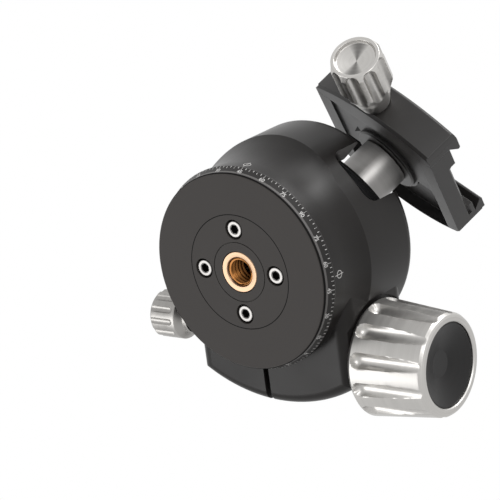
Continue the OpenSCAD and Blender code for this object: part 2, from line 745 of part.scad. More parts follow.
module jaw_springs() color([0.6, 0.6, 0.6]) on_clamp()
    for (side = [-1, 1]) translate([spring_in, side * guide_gap / 2, guide_u]) rotate([0, 90, 0])
        ring(spring_r, spring_r - spring_wall, 0, jaw_split - spring_in);

module moving_jaw() color([0.18, 0.175, 0.17]) on_clamp() difference() {
    intersection() {
        along_groove(clamp_l) polygon([[jaw_split + seam, 0], [jaw_out, 0], [jaw_out, jaw_h],
            [jaw_root - dovetail_rise + 0.4, jaw_h], [jaw_root - dovetail_rise, jaw_h - 0.4],
            [jaw_root - dovetail_rise, land_h + dovetail_rise], [jaw_root, land_h + 0.02],
            [jaw_split + seam, land_h]]);
        round_side(jaw_out, jaw_bow, jaw_edge_low);
    }
    corner_chamfers(jaw_out - jaw_bow);
    translate([0, 0, jaw_screw_u]) rotate([0, 90, 0]) cylinder(r = jaw_screw_d / 2 + seam, h = 30);
    for (side = [-1, 1]) translate([0, side * guide_gap / 2, guide_u]) rotate([0, 90, 0])
        cylinder(r = guide_d / 2, h = guide_end);
}

module jaw_guide_pins() color([0.75, 0.75, 0.75]) on_clamp()
    for (side = [-1, 1]) translate([guide_in + 0.5, side * guide_gap / 2, guide_u]) rotate([0, 90, 0])
        cylinder(r = guide_d / 2, h = guide_end - guide_in - 0.5);

module clamp_screw() color([0.6, 0.6, 0.6]) on_clamp()
    translate([jaw_screw_in + 0.4, 0, jaw_screw_u]) rotate([0, 90, 0])
        cylinder(r = jaw_screw_d / 2, h = jaw_knob_end - jaw_screw_out - jaw_screw_in);

module clamp_knob_washer() color([0.7, 0.7, 0.7]) on_clamp()
    translate([0, 0, jaw_screw_u]) rotate([0, 90, 0])
        ring(jaw_washer_r, jaw_screw_d / 2 + seam, jaw_out, jaw_out + jaw_washer_h);

module clamp_knob() color([0.82, 0.82, 0.83])
    on_clamp() translate([0, 0, jaw_screw_u]) rotate([0, 90, 0]) knob_of_clamp();

// The clamp knob along Z
module knob_of_clamp() difference() {
    r = jaw_knob_d / 2;
    face_r = jaw_knob_face_d / 2;
    inner = jaw_out + jaw_knob_gap;
    rotate_extrude() polygon([[0, inner], [r - jaw_neck, inner], [r - jaw_shoulder, inner + jaw_shoulder_h],
        [r, inner + jaw_barrel_h], [r, jaw_knob_end - jaw_end_h], [face_r, jaw_knob_end],
        [face_r - jaw_dish_rim, jaw_knob_end], [0, jaw_knob_end - jaw_dish_h]]);
    translate([0, 0, inner - 1]) cylinder(r = jaw_screw_d / 2, h = jaw_knob_end - 4.6 - inner);
    flutes(jaw_knob_flutes, jaw_flute_r, jaw_flute_at, inner + jaw_flute_in,
        jaw_knob_end - inner - jaw_flute_in - jaw_flute_out, jaw_flute_turn);
}

base_disc();
scale_ring();
cover_plate();
thread_insert();
cover_screws();
pan_spindle();
lower_pan_washer();
upper_pan_washer();
bearing_ring();
pan_brake_shoe();
pan_lock_screw();
pan_lock_knob();
housing();
lower_ball_seat();
upper_ball_seat();
seat_spring();
main_screw();
main_knob();
main_knob_cap();
main_knob_bolt();
main_knob_washer();
ball();
stem();
stem_collar();
clamp_body();
clamp_bolt();
jaw_springs();
moving_jaw();
jaw_guide_pins();
clamp_screw();
clamp_knob();
clamp_knob_washer();
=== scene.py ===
"""Finishes, engraved marks, fluted knobs, screws, camera, floor and light for a tripod ball head."""

import logging
import math
from dataclasses import dataclass, field
from enum import Enum
from functools import partial

import bmesh
import bpy
from bmesh.types import BMVert, BMesh
from bpy.types import ID, Material, Mesh, Node, NodeSocket, NodeTree, Object, World
from mathutils import Matrix, Vector


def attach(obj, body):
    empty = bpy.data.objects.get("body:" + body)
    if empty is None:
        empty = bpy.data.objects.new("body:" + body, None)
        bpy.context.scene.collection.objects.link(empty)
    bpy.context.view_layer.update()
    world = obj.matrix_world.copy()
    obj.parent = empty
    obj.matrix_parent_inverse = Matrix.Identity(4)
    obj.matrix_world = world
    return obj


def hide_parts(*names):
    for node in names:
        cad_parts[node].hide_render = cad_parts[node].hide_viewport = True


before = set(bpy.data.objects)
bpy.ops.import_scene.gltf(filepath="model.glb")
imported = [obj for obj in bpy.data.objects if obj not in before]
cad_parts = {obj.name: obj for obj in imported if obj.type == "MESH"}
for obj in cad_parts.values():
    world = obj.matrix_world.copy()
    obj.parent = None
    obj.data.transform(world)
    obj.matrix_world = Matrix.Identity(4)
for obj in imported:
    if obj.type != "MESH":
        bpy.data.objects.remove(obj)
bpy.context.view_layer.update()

LOG = logging.getLogger("ball_head")
MM = 0.001
TURN = 2.0 * math.pi
TINY = 1e-7  # nothing, as a length in metres
ON_AXIS = 1e-6  # a radius that counts as none
WELD = 1e-8  # how near two ends of a closed profile lie, in metres
FAR = 1.0  # further out than any knob, in metres
PAST_THE_END = 99.0  # flutes that run out at a knob's end, in millimetres

FLOAT, VECTOR = "NodeSocketFloat", "NodeSocketVector"
GEOMETRY, MATERIAL = "NodeSocketGeometry", "NodeSocketMaterial"
PLAIN_SOCKETS = {float: FLOAT, int: "NodeSocketInt"}

FINE_SPAN = (0.3, 0.7)  # where a fine noise has its values
BROAD_SPAN = (0.35, 0.65)  # where a coarser noise has its values
CLOUD_SHARE, FINE_SHARE = 0.6, 0.4
GRAIN_SHARE, STREAK_SHARE = 0.35, 0.65
RING_BREAK = 0.00002  # how far a lathe ring strays for each radian
# The fan is a painted reflection: darker wedges on a faced end that stand for its sheen.
FAN_SPAN = (0.55, 1.15)  # where a faced end's wedges fade in
FAN_RAGGED = 0.3  # how much the lathe marks break up the wedges' edges
EDGE_SPAN = (0.999, 0.9)  # cosines between a face and its rounded edge, from unworn to worn
PATCHY_SHARE, EVEN_SHARE = 0.6, 0.4
WEAR_SAMPLES, BEVEL_SAMPLES = 4, 6
FLANK_SPAN = (0.15, 0.85)  # where a thread's flank runs, between its crest and its root


# ---------------------------------------------------------------- node trees


class Graph:
    """Short calls that add nodes to one shader or geometry tree."""

    def __init__(self, tree: NodeTree) -> None:
        """Keeps the tree that nodes are added to."""
        self.tree = tree

    def node(self, kind: str, fed: dict[int | str, object] | None = None, **settings: object) -> Node:
        """Adds a node.

        Args:
            kind: The node's type name.
            fed: What its inputs get, as in feed.
            **settings: Properties to set on it.

        Returns:
            The new node.
        """
        made = self.tree.nodes.new(kind)
        for name, value in settings.items():
            setattr(made, name, value)
        self.feed(made, fed or {})
        return made

    def feed(self, made: Node, fed: dict[int | str, object]) -> None:
        """Links fields to a node's inputs, or sets the inputs' own values.

        Args:
            made: The node.
            fed: A Field, a socket or a plain value for each input, by name or place.
        """
        for name, value in fed.items():
            if isinstance(value, Field):
                self.tree.links.new(value.socket, made.inputs[name])
            elif isinstance(value, NodeSocket):
                self.tree.links.new(value, made.inputs[name])
            else:
                made.inputs[name].default_value = value

    def out(self, made: Node, name: int | str = 0) -> "Field":
        """Gives one of a node's outputs.

        Args:
            made: The node.
            name: The output's name or place.

        Returns:
            The output.
        """
        return Field(self, made.outputs[name])

    def source(self, kind: str, name: int | str = 0) -> "Field":
        """Adds a node that needs no inputs.

        Args:
            kind: The node's type name.
            name: The wanted output's name or place.

        Returns:
            The output.
        """
        return self.out(self.node(kind), name)

    def math(self, operation: str, *values: object) -> "Field":
        """Adds a Math node.

        Args:
            operation: The node's operation.
            *values: Its inputs in order.

        Returns:
            The result.
        """
        return self.out(self.node("ShaderNodeMath", dict(enumerate(values)), operation=operation))

    def dot(self, first: object, second: object) -> "Field":
        """Adds the dot product of two vectors.

        Args:
            first: One vector.
            second: The other.

        Returns:
            The product.
        """
        made = self.node("ShaderNodeVectorMath", {0: first, 1: second}, operation="DOT_PRODUCT")
        return self.out(made, "Value")

    def ramp(
        self, value: object, low: float, high: float, to_low: float = 0.0, to_high: float = 1.0
    ) -> "Field":
        """Maps a value from one range to another, clamped.

        Args:
            value: The field to map.
            low: Start of its range.
            high: End of its range.
            to_low: What the start becomes.
            to_high: What the end becomes.

        Returns:
            The mapped value.
        """
        fed = {"Value": value, "From Min": low, "From Max": high, "To Min": to_low, "To Max": to_high}
        return self.out(self.node("ShaderNodeMapRange", fed), "Result")

    def split(self, value: object) -> tuple["Field", "Field", "Field"]:
        """Separates a vector.

        Args:
            value: The vector.

        Returns:
            Its X, Y and Z.
        """
        made = self.node("ShaderNodeSeparateXYZ", {0: value})
        return tuple(Field(self, s) for s in made.outputs)

    def join(self, *values: object) -> "Field":
        """Combines three numbers into a vector.

        Args:
            *values: Its X, Y and Z.

        Returns:
            The vector.
        """
        return self.out(self.node("ShaderNodeCombineXYZ", dict(enumerate(values))))

    def noise(self, where: object, scale: float, detail: float = 2.0) -> "Field":
        """Adds a noise texture.

        Args:
            where: Its coordinates.
            scale: Cells for each metre.
            detail: Octaves.

        Returns:
            The noise, from 0 to 1.
        """
        made = self.node("ShaderNodeTexNoise", {"Vector": where, "Scale": scale, "Detail": detail})
        return self.out(made, "Fac")

    def blend(self, share: object, *colours: object) -> "Field":
        """Mixes two colours.

        Args:
            share: How much of the second, from 0 to 1.
            *colours: The colour at 0 and the colour at 1.

        Returns:
            The mixed colour.
        """
        made = self.node("ShaderNodeMix", {0: share}, data_type="RGBA")
        places = [place for place, socket in enumerate(made.inputs) if socket.type == "RGBA"]
        self.feed(made, dict(zip(places, colours)))
        return Field(self, next(socket for socket in made.outputs if socket.type == "RGBA"))

    def surface(self, share: object, *shaders: Node, target: str) -> None:
        """Ends a tree in a mix of two shaders.

        Args:
            share: How much of the second, from 0 to 1.
            *shaders: The shader at 0 and the shader at 1.
            target: The output node's type name.
        """
        first, second = shaders
        mixed = self.node("ShaderNodeMixShader", {0: share, 1: first.outputs[0], 2: second.outputs[0]})
        self.node(target, {"Surface": mixed.outputs[0]})


@dataclass(frozen=True)
class Field:
    """An output socket that can be written in sums."""

    graph: Graph
    socket: NodeSocket

    def __add__(self, other: object) -> "Field":
        """Adds."""
        return self.graph.math("ADD", self, other)

    def __sub__(self, other: object) -> "Field":
        """Subtracts."""
        return self.graph.math("SUBTRACT", self, other)

    def __rsub__(self, other: object) -> "Field":
        """Subtracts from a plain number."""
        return self.graph.math("SUBTRACT", other, self)

    def __mul__(self, other: object) -> "Field":
        """Multiplies."""
        return self.graph.math("MULTIPLY", self, other)

    def __rtruediv__(self, other: object) -> "Field":
        """Divides a plain number."""
        return self.graph.math("DIVIDE", other, self)


def fresh(owner: Material | World) -> Graph:
    """Starts a material's or a world's own tree.

    Args:
        owner: The material or world.

    Returns:
        The empty tree's graph.
    """
    owner.use_nodes = True
    owner.node_tree.nodes.clear()
    return Graph(owner.node_tree)


def new_group(
    name: str, kind: str, inputs: dict[str, float | str], outputs: dict[str, str]
) -> tuple[NodeTree, Graph, dict[str, Field], Node]:
    """Starts a node group with named inputs and outputs.

    Args:
        name: The group's name.
        kind: ShaderNodeTree or GeometryNodeTree.
        inputs: For each input name its number, or the kind of a socket that has none.
        outputs: Socket kind for each output name.

    Returns:
        The tree, its graph, its inputs as fields and its output node.
    """
    tree = bpy.data.node_groups.new(name, kind)
    for label, given in inputs.items():
        socket_kind = PLAIN_SOCKETS.get(type(given), given)
        made = tree.interface.new_socket(label, in_out="INPUT", socket_type=socket_kind)
        if socket_kind is not given:
            made.default_value = given
    for label, socket_kind in outputs.items():
        tree.interface.new_socket(label, in_out="OUTPUT", socket_type=socket_kind)
    graph = Graph(tree)
    entry = graph.node("NodeGroupInput")
    leave = graph.node("NodeGroupOutput")
    return tree, graph, {label: Field(graph, entry.outputs[label]) for label in inputs}, leave


# ---------------------------------------------------------------- shared shader effects


class Effects:
    """Shader groups that several finishes share, each built once."""

    def __init__(self) -> None:
        """Builds the groups."""
        self.grain = self._grain()
        self.turned = self._turned()
        self.wear = self._wear()

    def _grain(self) -> NodeTree:
        """Fine blasted or moulded grain over a slow cloud of tone.

        Returns:
            The group, with Height, Fine and Cloud outputs.
        """
        tree, graph, given, leave = new_group(
            "surface_grain",
            "ShaderNodeTree",
            {"Vector": VECTOR, "Grain Scale": 3500.0, "Cloud Scale": 60.0},
            {"Height": FLOAT, "Fine": FLOAT, "Cloud": FLOAT},
        )
        fine = graph.noise(given["Vector"], given["Grain Scale"], 3.0)
        cloud = graph.noise(given["Vector"], given["Cloud Scale"], 4.0)
        graph.feed(leave, {
            "Height": fine, "Fine": graph.ramp(fine, *FINE_SPAN), "Cloud": graph.ramp(cloud, *BROAD_SPAN),
        })
        return tree

    def _turned(self) -> NodeTree:
        """Lathe marks: rings that vary with the distance from an axis and along it.

        Fan is a painted reflection: two darker wedges that stand for the sheen of a faced end, inside Fan
        Radius and centred on Fan Angle.

        Returns:
            The group, with Height, Streak and Fan outputs. Its Vector has the axis along Z.
        """
        tree, graph, given, leave = new_group(
            "turned_marks_and_painted_fan",
            "ShaderNodeTree",
            {"Vector": VECTOR, "Rings": 5000.0, "Bands": 700.0, "Fan Angle": 0.0, "Fan Radius": 0.006},
            {"Height": FLOAT, "Streak": FLOAT, "Fan": FLOAT},
        )
        x, y, z = graph.split(given["Vector"])
        radius = graph.math("SQRT", x * x + y * y)
        angle = graph.math("ARCTAN2", y, x)
        rings = graph.join(radius, z, angle * RING_BREAK)
        fine = graph.noise(rings, given["Rings"], 2.0)
        bands = graph.noise(rings, given["Bands"], 3.0)
        # The fan: painted reflection wedges, twice around the axis.
        turn = graph.math("COSINE", (angle - given["Fan Angle"]) * 2.0)
        inside = graph.math("LESS_THAN", radius, given["Fan Radius"])
        graph.feed(leave, {
            "Height": fine,
            "Streak": graph.ramp(fine * 0.5 + bands * 0.5, *BROAD_SPAN),
            "Fan": graph.ramp(turn + bands * FAN_RAGGED, *FAN_SPAN) * inside,
        })
        return tree

    def _wear(self) -> NodeTree:
        """Brightening of edges that hands and bags rub.

        Returns:
            The group, with a Mask output.
        """
        tree, graph, given, leave = new_group(
            "edge_wear",
            "ShaderNodeTree",
            {"Vector": VECTOR, "Width": 0.0004, "Amount": 0.5},
            {"Mask": FLOAT},
        )
        bevel = graph.node("ShaderNodeBevel", {"Radius": given["Width"]}, samples=WEAR_SAMPLES)
        turned = graph.dot(bevel.outputs["Normal"], graph.source("ShaderNodeNewGeometry", "Normal"))
        edge = graph.ramp(turned, *EDGE_SPAN)
        patchy = graph.ramp(graph.noise(given["Vector"], 500.0, 3.0), *BROAD_SPAN)
        graph.feed(leave, {"Mask": edge * given["Amount"] * (patchy * PATCHY_SHARE + EVEN_SHARE)})
        return tree


class Lathe(Enum):
    """Turning axes that finishes centre their marks on."""

    NONE = "none"
    PAN = "pan"
    MAIN = "main"
    PAN_LOCK = "pan_lock"
    STEM = "stem"
    CLAMP = "clamp"


@dataclass(frozen=True)
class Finish:
    """One procedural metal or plastic finish.

    Attributes:
        name: The material's name.
        colour: Its colour, and second the one that its cloud and streaks run to.
        rough: Its lowest and highest roughness.
        grain: Grains for each metre, and bump their height in metres.
        wear: How bright rubbed edges get, up to wear_colour.
        bevel: Width in metres that sharp edges are softened by.
        lathe: The axis that its turning marks run around, lathe_bump high.
        fan: Strength of the painted reflection on a faced end, two darker wedges at fan_angle degrees,
            fan_shade dark, within fan_radius.
    """

    name: str
    colour: tuple[float, float, float]
    second: tuple[float, float, float]
    metallic: float = 0.0
    rough: tuple[float, float] = (0.35, 0.45)
    specular: float = 0.5
    grain: float = 3500.0
    bump: float = 0.00001
    wear: float = 0.0
    wear_colour: tuple[float, float, float] = (0.3, 0.3, 0.3)
    bevel: float = 0.0
    lathe: Lathe = Lathe.NONE
    lathe_bump: float = 0.0
    anisotropy: float = 0.0
    fan: float = 0.0
    fan_angle: float = 0.0
    fan_shade: float = 0.3
    fan_radius: float = 6.4 * MM

    def build(self, effects: Effects, axes: "Axes") -> Material:
        """Makes the material.

        Args:
            effects: The shared groups.
            axes: The object's turning axes.

        Returns:
            The material.
        """
        made = bpy.data.materials.new(self.name)
        graph = fresh(made)
        where = graph.source("ShaderNodeTexCoord", "Object")
        scaled = {"Vector": where, "Grain Scale": self.grain}
        grain = graph.node("ShaderNodeGroup", scaled, node_tree=effects.grain)
        share = graph.out(grain, "Cloud") * CLOUD_SHARE + graph.out(grain, "Fine") * FINE_SHARE
        height = graph.out(grain, "Height") * self.bump
        if self.lathe is not Lathe.NONE:
            spot, turn = axes.into(self.lathe)
            moved = {"Vector": where, "Location": spot, "Rotation": turn}
            mapping = graph.node("ShaderNodeMapping", moved, vector_type="POINT")
            marks = graph.node("ShaderNodeGroup", {"Vector": mapping.outputs[0]}, node_tree=effects.turned)
            share = share * GRAIN_SHARE + graph.out(marks, "Streak") * STREAK_SHARE
            height = height + graph.out(marks, "Height") * self.lathe_bump
        colour = graph.blend(share, (*self.colour, 1.0), (*self.second, 1.0))
        # Painted reflection: darker wedges on a faced end, standing for the sheen of its turning marks.
        if self.fan > 0.0:
            graph.feed(marks, {"Fan Angle": math.radians(self.fan_angle), "Fan Radius": self.fan_radius})
            dark = tuple(self.fan_shade * part for part in self.colour)
            colour = graph.blend(graph.out(marks, "Fan") * self.fan, colour, (*dark, 1.0))
        if self.wear > 0.0:
            rubbed = {"Vector": where, "Amount": self.wear}
            worn = graph.node("ShaderNodeGroup", rubbed, node_tree=effects.wear)
            colour = graph.blend(graph.out(worn, "Mask"), colour, (*self.wear_colour, 1.0))
        bump = graph.node("ShaderNodeBump", {"Strength": 1.0, "Distance": 1.0, "Height": height})
        if self.bevel > 0.0:
            soft = graph.node("ShaderNodeBevel", {"Radius": self.bevel}, samples=BEVEL_SAMPLES)
            graph.feed(bump, {"Normal": soft.outputs["Normal"]})
        shader = graph.node("ShaderNodeBsdfPrincipled", {
            "Base Color": colour,
            "Roughness": graph.ramp(share, 0.0, 1.0, *self.rough),
            "Metallic": self.metallic,
            "Specular IOR Level": self.specular,
            "Anisotropic": self.anisotropy,
            "Normal": bump.outputs["Normal"],
        })
        graph.node("ShaderNodeOutputMaterial", {"Surface": shader.outputs[0]})
        return made


@dataclass
class Axes:
    """The places and turns of the object's sub-assemblies, in metres."""

    main_y: float = 34.6 * MM
    main_z: float = 26.2 * MM
    pan_lock_y: float = 22.0 * MM
    pan_lock_z: float = 11.0 * MM
    ball_z: float = 39.2 * MM
    stem_az: float = math.radians(-53.0)
    stem_tilt: float = math.radians(39.3)
    clamp_spin: float = math.radians(-18.7)
    clamp_t: float = 36.9 * MM
    jaw_screw_u: float = 4.8 * MM

    def frame(self, lathe: Lathe) -> Matrix:
        """Gives an axis's own frame, with Z along the axis.

        Args:
            lathe: Which axis.

        Returns:
            The matrix from that frame into the object's frame.
        """
        quarter = Matrix.Rotation(math.radians(90.0), 4, "Y")
        stem = (
            Matrix.Translation((0.0, 0.0, self.ball_z))
            @ Matrix.Rotation(self.stem_az, 4, "Z")
            @ Matrix.Rotation(self.stem_tilt, 4, "Y")
        )
        if lathe is Lathe.MAIN:
            return Matrix.Translation((0.0, self.main_y, self.main_z)) @ quarter
        if lathe is Lathe.PAN_LOCK:
            return Matrix.Translation((0.0, self.pan_lock_y, self.pan_lock_z)) @ quarter.inverted()
        if lathe is Lathe.STEM:
            return stem
        if lathe is Lathe.CLAMP:
            return self.clamp() @ Matrix.Translation((0.0, 0.0, self.jaw_screw_u)) @ quarter
        return Matrix.Identity(4)

    def clamp(self) -> Matrix:
        """The clamp's frame: X towards its knob, Y along the groove, Z up from its underside."""
        return (
            self.frame(Lathe.STEM)
            @ Matrix.Rotation(self.clamp_spin, 4, "Z")
            @ Matrix.Translation((0.0, 0.0, self.clamp_t))
        )

    def into(self, lathe: Lathe) -> tuple[Vector, tuple[float, float, float]]:
        """Gives the location and rotation that a Mapping node needs to reach an axis's frame.

        Args:
            lathe: Which axis.

        Returns:
            The location and the Euler rotation.
        """
        back = self.frame(lathe).inverted()
        return back.to_translation(), tuple(back.to_euler("XYZ"))


# ---------------------------------------------------------------- mesh helpers


def refine(points: list[tuple[float, float]], step: float) -> list[tuple[float, float]]:
    """Splits a profile's long sides.

    Args:
        points: Radius and height pairs, in millimetres.
        step: The longest side wanted.

    Returns:
        The profile with more points.
    """
    made = [points[0]]
    for (r0, z0), (r1, z1) in zip(points, points[1:]):
        count = max(1, math.ceil(math.hypot(r1 - r0, z1 - z0) / step))
        made += [(r0 + (r1 - r0) * i / count, z0 + (z1 - z0) * i / count) for i in range(1, count + 1)]
    return made


def rounded(points: list[tuple[float, float, float]], parts: int = 4) -> list[tuple[float, float]]:
    """Rounds a profile's corners.

    Args:
        points: Radius, height and corner radius for each corner, in millimetres.
        parts: Pieces that each round corner is drawn with.

    Returns:
        The profile with its corners rounded.
    """
    made: list[tuple[float, float]] = []
    for index, (r, z, corner) in enumerate(points):
        here = Vector((r, z))
        if corner <= 0.0 or index in (0, len(points) - 1):
            made.append((r, z))
            continue
        before = Vector(points[index - 1][:2]) - here
        after = Vector(points[index + 1][:2]) - here
        angle = before.angle(after)
        reach = min(corner / math.tan(angle / 2.0), before.length * 0.49, after.length * 0.49)
        start, end = here + before.normalized() * reach, here + after.normalized() * reach
        for i in range(parts + 1):
            t = i / parts
            spot = start * (1 - t) ** 2 + here * 2 * t * (1 - t) + end * t**2
            made.append((spot.x, spot.y))
    return made


def linked(name: str, data: ID) -> Object:
    """Makes an object for some data and links it to the scene.

    Args:
        name: The object's name.
        data: A mesh, curve, camera or light.

    Returns:
        The new object.
    """
    made = bpy.data.objects.new(name, data)
    bpy.context.scene.collection.objects.link(made)
    return made


def bridge(mesh: BMesh, low: list[BMVert], high: list[BMVert]) -> None:
    """Joins two rings of corners, either of which may be a single point.

    Args:
        mesh: The mesh work.
        low: One ring.
        high: The other.
    """
    steps = max(len(low), len(high))
    for i in range(steps):
        j = (i + 1) % steps
        corners = [low[i % len(low)], low[j % len(low)], high[j % len(high)], high[i % len(high)]]
        unique = list(dict.fromkeys(corners))
        if len(unique) > 2:
            mesh.faces.new(unique)


def prism(name: str, low: list[Vector], high: list[Vector]) -> Object:
    """Makes a flat-sided piece between two outlines.

    Args:
        name: The object's name.
        low: Corners of one end, in metres.
        high: Corners of the other end, in the same order.

    Returns:
        The new object.
    """
    mesh = bmesh.new()
    add_prism(mesh, low, high)
    return as_object(name, mesh, smooth=False)


def add_prism(mesh: BMesh, low: list[Vector], high: list[Vector]) -> None:
    """Adds a flat-sided form between two outlines to mesh work.

    Args:
        mesh: The mesh work.
        low: Corners of one end, in metres.
        high: Corners of the other end, in the same order.
    """
    ends = [[mesh.verts.new(spot) for spot in end] for end in (low, high)]
    mesh.faces.new(ends[0][::-1])
    mesh.faces.new(ends[1])
    bridge(mesh, *ends)


def revolve(name: str, profile: list[tuple[float, float]], segments: int) -> Object:
    """Turns a profile about Z into a closed skin.

    Args:
        name: The object's name.
        profile: Radius and height pairs in millimetres; the ends lie on the axis, or the loop is closed.
        segments: Steps around.

    Returns:
        The new object, in the profile's own frame.
    """
    mesh = bmesh.new()
    ring = [(math.cos(TURN * i / segments), math.sin(TURN * i / segments)) for i in range(segments)]
    rows = []
    for r, z in profile:
        spots = ring if r >= ON_AXIS else [(0.0, 0.0)]
        rows.append([mesh.verts.new((r * MM * x, r * MM * y, z * MM)) for x, y in spots])
    for low, high in zip(rows, rows[1:]):
        bridge(mesh, low, high)
    if len(rows[0]) > 1 and len(rows[-1]) > 1:
        bmesh.ops.remove_doubles(mesh, verts=mesh.verts, dist=WELD)
    return as_object(name, mesh)


def as_object(name: str, mesh: BMesh, smooth: bool = True) -> Object:
    """Turns mesh work into a linked object with outward faces.

    Args:
        name: The object's name.
        mesh: The mesh work, which is freed.
        smooth: Whether faces are shaded smooth.

    Returns:
        The new object.
    """
    bmesh.ops.recalc_face_normals(mesh, faces=mesh.faces)
    for face in mesh.faces:
        face.smooth = smooth
    data = bpy.data.meshes.new(name)
    mesh.to_mesh(data)
    mesh.free()
    return linked(name, data)


def settle(made: Object, place: Matrix, material: Material, sharp: float) -> None:
    """Moves a piece's mesh into place and gives it its material.

    Args:
        made: The piece, at the origin.
        place: The matrix from its frame into the object's frame.
        material: Its finish.
        sharp: Angle in degrees past which an edge stays crisp.
    """
    made.data.transform(place)
    made.data.materials.clear()
    made.data.materials.append(material)
    for face in made.data.polygons:
        face.material_index = 0
    made.data.update()
    made.data.set_sharp_from_angle(angle=math.radians(sharp))


def baked(source: Object, tree: NodeTree, values: dict[str, object]) -> Object:
    """Runs a geometry tree on an object and keeps the result as a plain mesh.

    Args:
        source: The object that the tree starts from, which is replaced.
        tree: The geometry tree.
        values: Values for the tree's named inputs.

    Returns:
        The plain object.
    """
    modifier = source.modifiers.new(tree.name, "NODES")
    modifier.node_group = tree
    for item in tree.interface.items_tree:
        if item.item_type == "SOCKET" and item.in_out == "INPUT" and item.name in values:
            modifier[item.identifier] = values[item.name]
    bpy.context.view_layer.update()
    graph = bpy.context.evaluated_depsgraph_get()
    data = bpy.data.meshes.new_from_object(source.evaluated_get(graph))
    name = source.name
    bpy.data.objects.remove(source)
    return linked(name, data)


# ---------------------------------------------------------------- geometry trees


class Patterns:
    """Geometry trees for what repeats, each built once."""

    def __init__(self) -> None:
        """Builds the trees."""
        self.flutes = self._flutes()
        self.ring_of = self._ring_of()
        self.helix = self._helix()

    @staticmethod
    def _open(name: str, sizes: dict[str, float]) -> tuple[NodeTree, Graph, dict[str, Field], Node]:
        """Starts a tree that changes a shape and gives it a finish.

        Args:
            name: The tree's name.
            sizes: The number for each of its own inputs.

        Returns:
            The tree, its graph, its inputs as fields and its output node.
        """
        inputs = {"Geometry": GEOMETRY, **sizes, "Finish": MATERIAL}
        return new_group(name, "GeometryNodeTree", inputs, {"Geometry": GEOMETRY})

    def _flutes(self) -> NodeTree:
        """Ball-ended flutes around a turned skin whose axis is Z.

        Returns:
            The tree, with inputs for the number, the cutter and where the flutes start.
        """
        tree, graph, given, leave = self._open("flutes", {
            "Flutes": 12.0, "Cutter Radius": 0.0026, "Cutter Centre": 0.019,
            "Start": 0.0, "End": 1.0, "Phase": 0.0, "Edge": 0.0003,
        })
        x, y, z = graph.split(graph.source("GeometryNodeInputPosition"))
        radius = graph.math("SQRT", x * x + y * y)
        pitch = TURN / given["Flutes"]
        angle = graph.math("ARCTAN2", y, x) - given["Phase"]
        off = graph.math("WRAP", angle, pitch * 0.5, pitch * -0.5)
        before = graph.math("MAXIMUM", given["Start"] - z, 0.0)
        after = graph.math("MAXIMUM", z - given["End"], 0.0)
        outside = graph.math("MAXIMUM", before, after)
        cutter = given["Cutter Radius"]
        reach = graph.math("SQRT", graph.math("MAXIMUM", cutter * cutter - outside * outside, 0.0))
        side = given["Cutter Centre"] * graph.math("SINE", off)
        depth = graph.math("SQRT", graph.math("MAXIMUM", reach * reach - side * side, 0.0))
        floor = given["Cutter Centre"] * graph.math("COSINE", off) - depth
        # Where the cutter doesn't reach, the wall lies far outside, so the skin stays as it was turned.
        clear = graph.math("COMPARE", depth, 0.0, TINY)
        wall = floor + clear * FAR
        cut = graph.math("SMOOTH_MIN", radius, wall, given["Edge"])
        scale = graph.math("DIVIDE", cut, graph.math("MAXIMUM", radius, TINY))
        moved = graph.node("GeometryNodeSetPosition", {
            "Geometry": given["Geometry"], "Position": graph.join(x * scale, y * scale, z),
        })
        self._close(graph, moved.outputs[0], given["Finish"], leave)
        return tree

    def _ring_of(self) -> NodeTree:
        """Copies of the incoming piece around Z.

        Returns:
            The tree, with inputs for the number, the radius and the first angle.
        """
        tree, graph, given, leave = self._open("ring_of", {"Count": 4, "Radius": 0.01, "First": 0.0})
        angle = graph.source("GeometryNodeInputIndex") * (TURN / given["Count"]) + given["First"]
        line = graph.node(
            "GeometryNodeMeshLine", {"Count": given["Count"], "Offset": (0.0, 0.0, 0.0)}, mode="OFFSET"
        )
        placed = graph.node("GeometryNodeSetPosition", {
            "Geometry": line.outputs[0], "Position": self._around(graph, given["Radius"], angle, 0.0),
        })
        copies = graph.node("GeometryNodeInstanceOnPoints", {
            "Points": placed.outputs[0],
            "Instance": given["Geometry"],
            "Rotation": graph.join(0.0, 0.0, angle),
        })
        self._close(graph, copies.outputs[0], given["Finish"], leave)
        return tree

    def _helix(self) -> NodeTree:
        """Winds a flat strip, X along the turns and Y up the thread's section, into a screw thread.

        Returns:
            The tree, with inputs for the pitch, the two radii and the length.
        """
        tree, graph, given, leave = self._open(
            "helix", {"Pitch": 0.0015875, "Crest": 0.004, "Root": 0.0046, "Low": 0.0, "High": 0.008}
        )
        x, y, _ = graph.split(graph.source("GeometryNodeInputPosition"))
        rise = graph.math("MAXIMUM", given["Low"] + (x + y) * given["Pitch"], given["Low"])
        height = graph.math("MINIMUM", rise, given["High"])
        angle = x * TURN
        share = graph.math("PINGPONG", y, 0.5) * 2.0
        flank = graph.ramp(share, *FLANK_SPAN)
        radius = given["Crest"] + (given["Root"] - given["Crest"]) * flank
        moved = graph.node("GeometryNodeSetPosition", {
            "Geometry": given["Geometry"], "Position": self._around(graph, radius, angle, height),
        })
        joined = graph.node("GeometryNodeMergeByDistance", {"Geometry": moved.outputs[0], "Distance": TINY})
        self._close(graph, joined.outputs[0], given["Finish"], leave)
        return tree

    @staticmethod
    def _around(graph: Graph, radius: Field, angle: Field, height: object) -> Field:
        """Turns a radius, an angle and a height into a point.

        Args:
            graph: The tree's graph.
            radius: Distance from Z.
            angle: Direction around Z, in radians.
            height: Distance up Z.

        Returns:
            The point.
        """
        return graph.join(radius * graph.math("COSINE", angle), radius * graph.math("SINE", angle), height)

    @staticmethod
    def _close(graph: Graph, shape: NodeSocket, finish: Field, leave: Node) -> None:
        """Ends a tree in real geometry with its finish.

        Args:
            graph: The tree's graph.
            shape: The geometry to end with.
            finish: The material input.
            leave: The tree's output node.
        """
        real = graph.node("GeometryNodeRealizeInstances", {0: shape})
        dressed = graph.node("GeometryNodeSetMaterial", {"Geometry": real.outputs[0], "Material": finish})
        graph.feed(leave, {"Geometry": dressed.outputs[0]})


# ---------------------------------------------------------------- finishes


